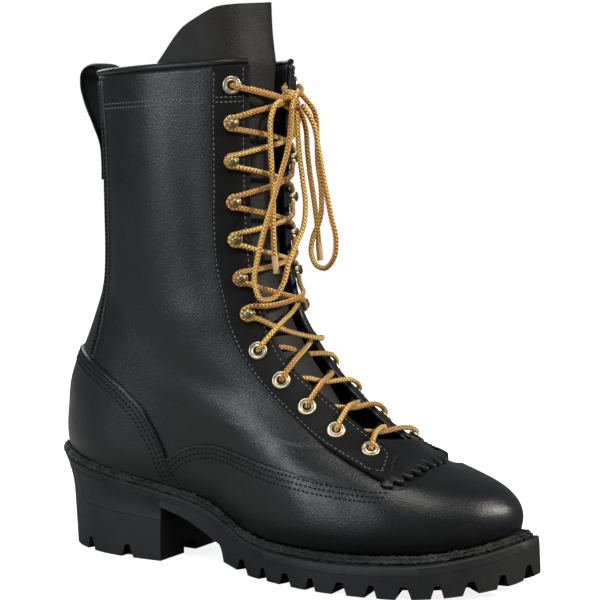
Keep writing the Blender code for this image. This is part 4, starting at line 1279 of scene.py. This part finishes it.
BREAST, OUTSOLE_REAR, FIRST_LUG = 89.5, 89.8, 133.0


def edges_at(row, x):
    share = np.clip((x - row.back) / (row.front - row.back), 0, 1)
    half = half_width(share, row.heel, row.waist, row.ball, row.toe)
    middle = swing(share, row.ball_swing, row.toe_swing)
    return middle - half, middle + half


def lug_root(x):
    return through(x, LUG_ROOT_LINE)


def tread(x):
    return through(x, TREAD_LINE)


def lift_seam(x):
    return through(x, LIFT_SEAM_LINE)


# %% A plate through outlines
ROUGH_SEED, ROUGH_SCALE = 7, 0.55


def plate(name, layers, finish, start=None, end=None, stations=110, rough=0.0):
    """A sole plate from (outline, height) layers, top first, cut square where start or end is given."""
    turn = np.linspace(0, 1, stations)
    spacing = {
        (True, True): (1 - np.cos(math.pi * turn)) / 2,
        (True, False): 1 - np.cos(math.pi / 2 * turn),
        (False, True): np.sin(math.pi / 2 * turn),
        (False, False): turn,
    }[start is None, end is None]
    outer, inner = [], []
    for row, height in layers:
        low = row.back if start is None else start
        high = row.front if end is None else end
        x = low + (high - low) * spacing
        for side, store in zip(edges_at(row, x), (outer, inner)):
            store.append(np.stack([x, side, height(x) * np.ones_like(x)], -1))
    rings = np.stack([*outer, *inner[::-1]], 1)
    if rough:
        noise.seed_set(ROUGH_SEED)
        shake = [noise.noise_vector(Vector(spot) * ROUGH_SCALE) for spot in rings.reshape(-1, 3)]
        rings = rings + rough * np.array(shake).reshape(rings.shape)
    return loft(name, rings, finish, start is not None, end is not None)


def loft(name, rings, finish, first_cap=True, last_cap=True):
    """A solid through rings of points. An end that closes in a line by itself gets no cap."""
    count, around = rings.shape[:2]
    faces = []
    if first_cap:
        faces.append(tuple(range(around)))
    if last_cap:
        faces.append(tuple((count - 1) * around + k for k in range(around)))
    faces += ring_faces(count, around)
    return mesh_piece(name, rings.reshape(-1, 3), faces, finish, smooth=35)


def between(one, two, share, pinch=0.0):
    """An outline a share of the way from one to another, drawn in by a pinch."""
    mixed = [a + (b - a) * share for a, b in zip(one, two)]
    row = Outline(*mixed)
    return row._replace(back=row.back + pinch, heel=row.heel - pinch, waist=row.waist - pinch * 0.6)


# %% Welt and midsole
def wedge_layers(top, top_z, foot, foot_z, shares, pinch=0.0):
    """Layers of a wall between two outlines, hollowed by a pinch."""
    def height(share):
        return lambda x: top_z(x) + (foot_z(x) - top_z(x)) * share
    return [(between(top, foot, share, pinch * math.sin(math.pi * share)), height(share)) for share in shares]


def midsole_top(x):
    return feather(x) - WELT_THICK - 0.1


def midsole_foot(x):
    return feather(x) - WELT_THICK - MIDSOLE_THICK - 0.3


def under_midsole(x):
    return midsole_foot(x) - 0.05


def inset(row, by):
    return row._replace(back=row.back + by, front=row.front - by, heel=row.heel - by, waist=row.waist - by,
                        ball=row.ball - by, toe=row.toe - by)


def below_feather(drop):
    return lambda x: feather(x) - drop


WELT_PROFILE = ((4.4, 0.0), (3.0, -0.7), (2.0, -0.4), (1.3, 0.4), (1.5, 1.1), (0.5, 1.7), (0.0, 2.5),
                (0.6, 3.2), (0.9, 3.8))
welt_layers = [(inset(between(WELT_TOP, WELT_FOOT, max(drop, 0) / WELT_THICK), by), below_feather(drop))
               for by, drop in WELT_PROFILE]
dress(plate("welt_strip", welt_layers, WELT_LEATHER, stations=460, rough=0.85), "welt_leather", "welt")
midsole_layers = [(inset(MIDSOLE_TOP, 1.8), midsole_top),
                  (inset(MIDSOLE_TOP, 0.6), lambda x: midsole_top(x) - 0.3),
                  (MIDSOLE_TOP, lambda x: midsole_top(x) - 1.2),
                  (MIDSOLE_FOOT, lambda x: midsole_foot(x) + 0.1),
                  (inset(MIDSOLE_FOOT, FOOT_BEVEL), midsole_foot)]
dress(plate("midsole_layer", midsole_layers, SOLE_RUBBER, stations=200), "sole_rubber", "midsole")


# %% A tree that cuts notches
def notch_tree():
    tree, source = new_tree("cut_notches", ("Block", "Object"), ("Wedge", "Object"))
    place = set_on_points(tree, source, given_shape(tree, source, "Wedge"))
    tree.links.new(stored_vector(tree, "size"), place.inputs["Scale"])
    cutters = tree.nodes.new("GeometryNodeRealizeInstances")
    tree.links.new(place.outputs["Instances"], cutters.inputs["Geometry"])
    cut = tree.nodes.new("GeometryNodeMeshBoolean")
    cut.operation = "DIFFERENCE"
    cut.solver = "EXACT"
    cut.inputs["Self Intersection"].default_value = True
    tree.links.new(given_shape(tree, source, "Block"), cut.inputs["Mesh 1"])
    tree.links.new(cutters.outputs["Geometry"], cut.inputs["Mesh 2"])
    finish_tree(tree, cut.outputs["Mesh"], source)
    return tree


NOTCH_OUTSIDE, WEDGE_DROP = 6.0, 16.0
ROOT_HALF, DROP_HALF = 0.20, 0.90


def wedge_shape(name, depth):
    """A notch of width 1: wider at the floor than at its root, with its root at z 0."""
    corners = []
    for reach in (-depth, NOTCH_OUTSIDE):
        for z, half in ((-WEDGE_DROP, DROP_HALF), (0.0, ROOT_HALF)):
            for sign in (-1, 1) if z < 0 else (1, -1):
                corners.append((half * sign + HEEL_CENTRE, reach, z))
    return loft(name, np.array(corners).reshape(2, 4, 3), SOLE_RUBBER)


Notch = namedtuple("Notch", "place out along size")
CUT_NOTCHES = notch_tree()
SHARP_EDGE = 30


def notched(name, block, notches, depth):
    """The block with notches cut in it, and the edges of the cuts kept sharp."""
    wedge = wedge_shape(name + "_wedge", depth)
    piece = over_points(name, notches, CUT_NOTCHES, SOLE_RUBBER, block=block, wedge=wedge)
    for helper in (block, wedge):
        bpy.data.objects.remove(helper, do_unlink=True)
    piece.data.set_sharp_from_angle(angle=math.radians(SHARP_EDGE))
    return piece


# %% Outsole
LUG_PITCH, LUG_SHIFT, NOTCH_WIDTHS, NOTCH_DEPTH = 18.6, 5.6, (9.0, 7.0), 24.0
RECESS = Outline(100, 284, 14, 16, 24, 15, -3, 3)
RECESS_REAR, RECESS_BELOW = 146, 8


def edge_places(row, start, pitch):
    """Points and directions at even steps round the toe, from the outer side to the inner."""
    turn = np.linspace(0, 1, 400)
    x = start + (row.front - start) * np.sin(math.pi / 2 * turn)
    outer, inner = edges_at(row, x)
    edge = np.concatenate([np.stack([x, outer], -1), np.stack([x, inner], -1)[-2::-1]])
    length = run_length(edge)
    count = int(length[-1] / pitch)
    spare = (length[-1] - (count - 1) * pitch) / 2 + LUG_SHIFT
    for k in range(count):
        spot, ahead = (read_at(spare + k * pitch + more, length, edge) for more in (0, 1))
        yield spot, unit(ahead - spot)


def lug_notches():
    for k, (spot, along) in enumerate(edge_places(TREAD, FIRST_LUG, LUG_PITCH)):
        width = NOTCH_WIDTHS[k % len(NOTCH_WIDTHS)]
        turn = (-along[0], -along[1], 0)
        yield Notch((*spot, float(lug_root(spot[0]))), (0, 0, 1), turn, (width, 1, 1))


def make_outsole():
    def floor(x):
        shank = np.clip((FIRST_LUG - x) / 0.5, 0, 1)
        return tread(x) * (1 - shank) + lug_root(x) * shank
    layers = [(inset(MIDSOLE_FOOT, FOOT_BEVEL), under_midsole),
              (MIDSOLE_FOOT, lambda x: under_midsole(x) - 0.1), (TREAD, floor)]
    block = plate("outsole_block", layers, SOLE_RUBBER, start=OUTSOLE_REAR, stations=220)
    hollow_layers = [(RECESS, lug_root), (RECESS, lambda x: 0 * x - RECESS_BELOW)]
    hollow = plate("recess_block", hollow_layers, SOLE_RUBBER, start=RECESS_REAR, stations=40)
    piece = notched("lugged_outsole", cut_from(block, hollow), list(lug_notches()), NOTCH_DEPTH)
    return dress(join_pieces("lugged_outsole", [piece, centre_lugs()]), "sole_rubber", "outsole")


CENTRE_LUGS, LUG_ARM, LUG_THICK, LUG_TALL = (160, 182, 204, 226, 248), 8.0, 3.4, 8.5


def centre_lugs():
    """Cross-shaped lugs down the middle of the tread, set on points by the same tree as the brass."""
    quarter = ((LUG_ARM, LUG_THICK), (LUG_THICK, LUG_THICK), (LUG_THICK, LUG_ARM))
    outline = [(a * x, b * y) for a, b in ((1, 1), (-1, 1), (-1, -1), (1, -1))
               for x, y in (quarter if a * b > 0 else quarter[::-1])]
    rings = np.array([[(x + HEEL_CENTRE, y, z) for x, y in outline] for z in (0.0, LUG_TALL)])
    shape = loft("centre_lug_shape", rings, SOLE_RUBBER)
    spots = []
    for x in CENTRE_LUGS:
        low, high = edges_at(RECESS, np.array(float(x)))
        spots.append(Spot((x, float(low + high) / 2, float(tread(x))), (0, 0, 1), (1, 0, 0)))
    piece = over_points("centre_lugs", spots, SET_SHAPE, SOLE_RUBBER, shape=shape)
    bpy.data.objects.remove(shape, do_unlink=True)
    piece.data.set_sharp_from_angle(angle=math.radians(SHARP_EDGE))
    return piece


def cut_from(block, cutter):
    """Takes one solid from another and removes it."""
    cut = block.modifiers.new("cut", "BOOLEAN")
    cut.operation = "DIFFERENCE"
    cut.solver = "EXACT"
    cut.object = cutter
    apply_modifiers(block)
    bpy.data.objects.remove(cutter, do_unlink=True)
    return block


make_outsole()

# %% Heel
HEEL_NOTCHES, HEEL_NOTCH_WIDTH, HEEL_NOTCH_ROOT, HEEL_NOTCH_DEPTH = (35.0, 66.0), 8.0, 7.5, 15.0
HEEL_GROOVE, GROOVE_DEEP = ((62, -8), (97.5, -6), (97.5, 6), (62, 8)), 6.0


def make_heel():
    shares = np.linspace(0, 1, 9)
    stack = [(inset(MIDSOLE_FOOT, FOOT_BEVEL), under_midsole),
             *wedge_layers(MIDSOLE_FOOT, lambda x: under_midsole(x) - 0.1, STACK_FOOT,
                           lambda x: lift_seam(x) + 0.1, shares, pinch=0.8),
             (inset(STACK_FOOT, STACK_BEVEL), lift_seam)]
    dress(plate("heel_block", stack, SOLE_RUBBER, end=BREAST, stations=120), "sole_rubber", "heel_stack")
    lift = [(inset(STACK_FOOT, STACK_BEVEL), lambda x: lift_seam(x) - 0.1),
            (STACK_FOOT, lambda x: lift_seam(x) - 0.35),
            *wedge_layers(STACK_FOOT, lambda x: lift_seam(x) - 0.35, HEEL_FLOOR, lambda x: 0 * x, (0.5, 1.0))]
    block = plate("lift_block", lift, SOLE_RUBBER, end=BREAST, stations=90)
    groove = np.array([[(x, y, z) for x, y in HEEL_GROOVE] for z in (-GROOVE_DEEP, GROOVE_DEEP)])
    block = cut_from(block, loft("groove_block", groove, SOLE_RUBBER))
    notches = []
    for x in HEEL_NOTCHES:
        for side in SIDES.values():
            y = edges_at(HEEL_FLOOR, np.array([x - 0.5, x, x + 0.5]))[0 if side < 0 else 1]
            along = unit((side * -1.0, side * -(y[2] - y[0]), 0.0))
            notches.append(Notch((x, y[1], HEEL_NOTCH_ROOT), (0, 0, 1), along, (HEEL_NOTCH_WIDTH, 1, 1)))
    piece = notched("heel_lift_tread", block, notches, HEEL_NOTCH_DEPTH)
    dress(piece, "sole_rubber", "heel_lift")


make_heel()

# %% Insole
board = inset(SEAT, WALL + 2.6)
insole_layers = [(board, lambda x: feather(x) + 0.6), (inset(board, -0.6), lambda x: feather(x) - 0.2),
                 (inset(board, -0.6), lambda x: feather(x) - WELT_THICK)]
dress(plate("insole_board", insole_layers, INSOLE_LEATHER, stations=120), "insole_leather", "insole")

# %% [markdown]
# ## Stitching
#
# Rows of thread hold the panels down. A stitch is a tiny rounded bar, and one more node tree sets
# one on each point of a row, lying along it. Pale grey thread runs round the eyestays and the cuff,
# black thread in triple rows along the vamp and the counter, and in one row on each side of the
# backstay. The black thread's near-black colour is partly its own and partly painted shade, which
# stands for the shadow in the stitch holes.


# %% The stitch tree
def stitch_tree():
    tree, source = new_tree("stitch_rows", ("Length", "Float"), ("Thread", "Float"))
    bar = tree.nodes.new("GeometryNodeMeshUVSphere")
    bar.inputs["Segments"].default_value = 6
    bar.inputs["Rings"].default_value = 4
    bar.inputs["Radius"].default_value = 0.5
    size = tree.nodes.new("ShaderNodeCombineXYZ")
    for axis, name in (("X", "Length"), ("Y", "Thread"), ("Z", "Thread")):
        tree.links.new(source.outputs[name], size.inputs[axis])
    shape = tree.nodes.new("GeometryNodeTransform")
    tree.links.new(bar.outputs["Mesh"], shape.inputs["Geometry"])
    tree.links.new(size.outputs["Vector"], shape.inputs["Scale"])
    place = set_on_points(tree, source, shape.outputs["Geometry"])
    finish_tree(tree, place.outputs["Instances"], source)
    return tree


STITCH_ROWS = stitch_tree()
LOWEST_STITCH = 0.15


def row_of_stitches(track, height, pitch, on_tab=False):
    """Evenly spaced stitches along a line of (level, angle) on the leather."""
    fine = smooth_track(track, count=600)
    fine = fine[fine[:, 0] > LOWEST_STITCH]
    spots = laid(fine[:, 0], fine[:, 1], height + (tab_lift(fine[:, 0]) if on_tab else np.zeros(len(fine))))
    outs = upper_normal(np.minimum(fine[:, 0], TOPLINE - 0.02), fine[:, 1])
    length = run_length(spots)
    runs = unit(np.gradient(spots, axis=0))
    for at in np.arange(pitch / 2, length[-1], pitch):
        k = int(np.searchsorted(length, at))
        yield Spot(spots[k], outs[k], runs[k])


def beside(track, by):
    """A line moved sideways on the leather by a distance in millimetres, towards its right."""
    fine = track_points(track, 160)
    spots = upper_point(fine[:, 0], fine[:, 1])
    outs = upper_normal(np.minimum(fine[:, 0], TOPLINE - 0.02), fine[:, 1])
    runs = unit(np.gradient(spots, axis=0))
    right = np.cross(runs, outs)
    step = 0.01
    ups = upper_point(fine[:, 0] + step, fine[:, 1]) - upper_point(fine[:, 0] - step, fine[:, 1])
    arounds = upper_point(fine[:, 0], fine[:, 1] + step) - upper_point(fine[:, 0], fine[:, 1] - step)
    moved = []
    for spot, one, two, way in zip(fine, ups, arounds, right):
        basis = np.stack([one, two], -1) / (2 * step)
        shift = np.linalg.lstsq(basis, way * by, rcond=None)[0]
        moved.append(spot + shift)
    return np.array(moved)


# %% Sew the rows
STITCH_INSIDE = 0.03
EYESTAY_STITCH = ((10.9, 0.92), *((level, angle - STITCH_INSIDE) for level, angle in EYESTAY_REAR[1:9]),
                  (4.42, 0.925), (4.05, 0.88), (3.72, 0.84), (3.52, 0.81), (3.50, 0.775), (3.62, 0.73),
                  (3.85, 0.66), (4.02, 0.605), (4.14, 0.565), (4.25, 0.54), (4.4, 0.525), (4.65, 0.52),
                  (5.0, 0.54), (5.3, 0.565))
THROAT_STITCH = ((5.3, 0.565), (5.69, 0.615), (5.95, 0.655), (6.25, 0.69), (6.5, 0.685), (6.84, 0.665),
                 (7.26, 0.64), (7.76, 0.63), (8.42, 0.615), (9, 0.60), (9.54, 0.59), (10.1, 0.595),
                 (10.95, 0.62))
BACKSTAY_STITCH = ((4.6, 2.55), (5.42, 2.52), (6.78, 2.53), (8.60, 2.46), (10.3, 2.42))
CUFF_LEVELS, CUFF_SPAN, FACING_SPAN = (10.54, 10.475), (1.02, 2.36, 24), (0.62, 0.90, 8)
ON_QUARTER, ON_FACING, ON_BACKSTAY = 0.05, FACING_TOP - 0.05, 1.35
EYESTAY_PITCH, CUFF_PITCH = 3.0, 2.6
TRIPLE_ROWS, TRIPLE_PITCH = (2.4, 5.4, 8.4), 2.9


def sew():
    grey, black = [], []
    for side in SIDES.values():
        flip = np.array((1, side))
        for line in (EYESTAY_STITCH, THROAT_STITCH):
            grey += row_of_stitches(np.array(line) * flip, ON_FACING, EYESTAY_PITCH, on_tab=True)
        for level in CUFF_LEVELS:
            for (start, end, steps), height in ((CUFF_SPAN, ON_QUARTER), (FACING_SPAN, ON_FACING)):
                line = np.stack([np.full(steps, level), np.linspace(start, end, steps)], -1)
                grey += row_of_stitches(line * flip, height, CUFF_PITCH)
        for by in TRIPLE_ROWS:
            vamp_row = beside(np.array(VAMP_EDGE[1:13]) * flip, -side * by)
            counter_row = beside(np.array(COUNTER_EDGE[1:]) * flip, side * by)
            black += row_of_stitches(vamp_row, VAMP_THICK, TRIPLE_PITCH)
            black += row_of_stitches(counter_row, COUNTER_THICK, TRIPLE_PITCH)
        black += row_of_stitches(np.array(BACKSTAY_STITCH) * flip, ON_BACKSTAY, CUFF_PITCH)
    return grey, black


grey_spots, black_spots = sew()
dress(over_points("grey_stitches", grey_spots, STITCH_ROWS, GREY_THREAD, length=2.1 * MM, thread=0.75 * MM),
      "upper_leather")
# The near-black of these stitches is partly the thread's own colour and partly painted shade of the stitch
# holes.
dress(over_points("black_stitches", black_spots, STITCH_ROWS, BLACK_THREAD_AND_HOLE_SHADE, length=2.3 * MM, thread=1.2 * MM),
      "upper_leather")

# %% [markdown]
# ## Floor and light
#
# Black leather shows its shape only by what it reflects. One large soft light stands to the left of
# the camera and draws the broad sheen down the shaft. A small one stands beyond the toe, a third
# behind the heel, and a fourth hangs overhead. To the camera the floor and the surroundings are pale
# and plain. To reflections they are dim, so that the leather stays black, and the floor gets paler
# towards the left, as if a white card lay there.

# %% Floor and surroundings
FLOOR_REACH, FLOOR_DROP = 40.0, 0.0005
CARD_WAY = (-0.79, -0.61, 0)
CARD_RANGE = {"From Min": -0.05, "From Max": 0.15, "To Min": 0.12, "To Max": 0.55}


def show_camera(nodes, links, bounced, shown, output):
    """Gives one shader to the camera and another to all other rays."""
    ray = nodes.new("ShaderNodeLightPath")
    choice = nodes.new("ShaderNodeMixShader")
    links.new(ray.outputs["Is Camera Ray"], choice.inputs["Fac"])
    links.new(bounced, choice.inputs[1])
    links.new(shown, choice.inputs[2])
    links.new(choice.outputs["Shader"], output.inputs["Surface"])


floor_mesh = bpy.data.meshes.new("floor")
corners = [(x * FLOOR_REACH, y * FLOOR_REACH, -FLOOR_DROP) for x, y in ((-1, -1), (1, -1), (1, 1), (-1, 1))]
floor_mesh.from_pydata(corners, [], [(0, 1, 2, 3)])
floor_finish, floor_nodes, floor_links, floor_shader = new_finish("pale_floor", (0.93, 0.93, 0.93), 0.9)
floor_shader.inputs["Emission Color"].default_value = (1, 1, 1, 1)
floor_shader.inputs["Emission Strength"].default_value = 0.86
matte = floor_nodes.new("ShaderNodeBsdfDiffuse")
place = floor_nodes.new("ShaderNodeTexCoord")
leftward = floor_nodes.new("ShaderNodeVectorMath")
leftward.operation = "DOT_PRODUCT"
leftward.inputs[1].default_value = CARD_WAY
floor_links.new(place.outputs["Object"], leftward.inputs[0])
card = floor_nodes.new("ShaderNodeMapRange")
for socket, value in CARD_RANGE.items():
    card.inputs[socket].default_value = value
floor_links.new(leftward.outputs["Value"], card.inputs["Value"])
floor_links.new(card.outputs["Result"], matte.inputs["Color"])
show_camera(floor_nodes, floor_links, matte.outputs["BSDF"], floor_shader.outputs["BSDF"],
            floor_nodes["Material Output"])
floor_mesh.materials.append(floor_finish)
floor_piece = bpy.data.objects.new("floor", floor_mesh)
BOOT.objects.link(floor_piece)
floor_piece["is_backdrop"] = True

world = bpy.data.worlds.new("studio")
world.use_nodes = True
sky, sky_links = world.node_tree.nodes, world.node_tree.links
seen = sky["Background"]
seen.inputs["Color"].default_value = (1, 1, 1, 1)
dim = sky.new("ShaderNodeBackground")
dim.inputs["Color"].default_value = (0.94, 0.97, 1.0, 1)
dim.inputs["Strength"].default_value = 0.16
show_camera(sky, sky_links, dim.outputs["Background"], seen.outputs["Background"], sky["World Output"])
bpy.context.scene.world = world
bpy.context.scene.view_settings.view_transform = "Standard"

# %% Lights
Light = namedtuple("Light", "name spot aim size power colour")
LIGHTS = (
    Light("left_softbox", (-0.62, -1.42, 0.50), (0.06, 0, 0.12), (0.72, 0.46), 9, (0.87, 0.94, 1.0)),
    Light("toe_softbox", (1.32, 0.26, 0.76), (0.22, 0, 0.06), (0.22, 0.22), 14, (1.0, 0.96, 0.90)),
    Light("rear_softbox", (-1.1, 0.75, 0.9), (0, 0, 0.14), (0.7, 0.7), 5, (1, 1, 1)),
    Light("overhead_softbox", (0.5, -0.9, 1.5), (0.1, 0, 0.1), (0.9, 0.9), 12, (1.0, 0.98, 0.95)),
)
for light in LIGHTS:
    lamp = bpy.data.lights.new(light.name, "AREA")
    lamp.shape = "RECTANGLE"
    lamp.size, lamp.size_y = light.size
    lamp.energy = light.power
    lamp.color = light.colour
    lamp_object = bpy.data.objects.new(light.name, lamp)
    way = Vector(light.aim) - Vector(light.spot)
    turn = way.to_track_quat("-Z", "Y").to_matrix().to_4x4()
    lamp_object.matrix_world = Matrix.Translation(light.spot) @ turn
    BOOT.objects.link(lamp_object)
print("lights:", len(LIGHTS))

# %% Sizes and the end
boxes = {"cad": CAD_BOX, "visual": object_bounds()}
{key: [[float(value) for value in corner] for corner in box] for key, box in boxes.items()}
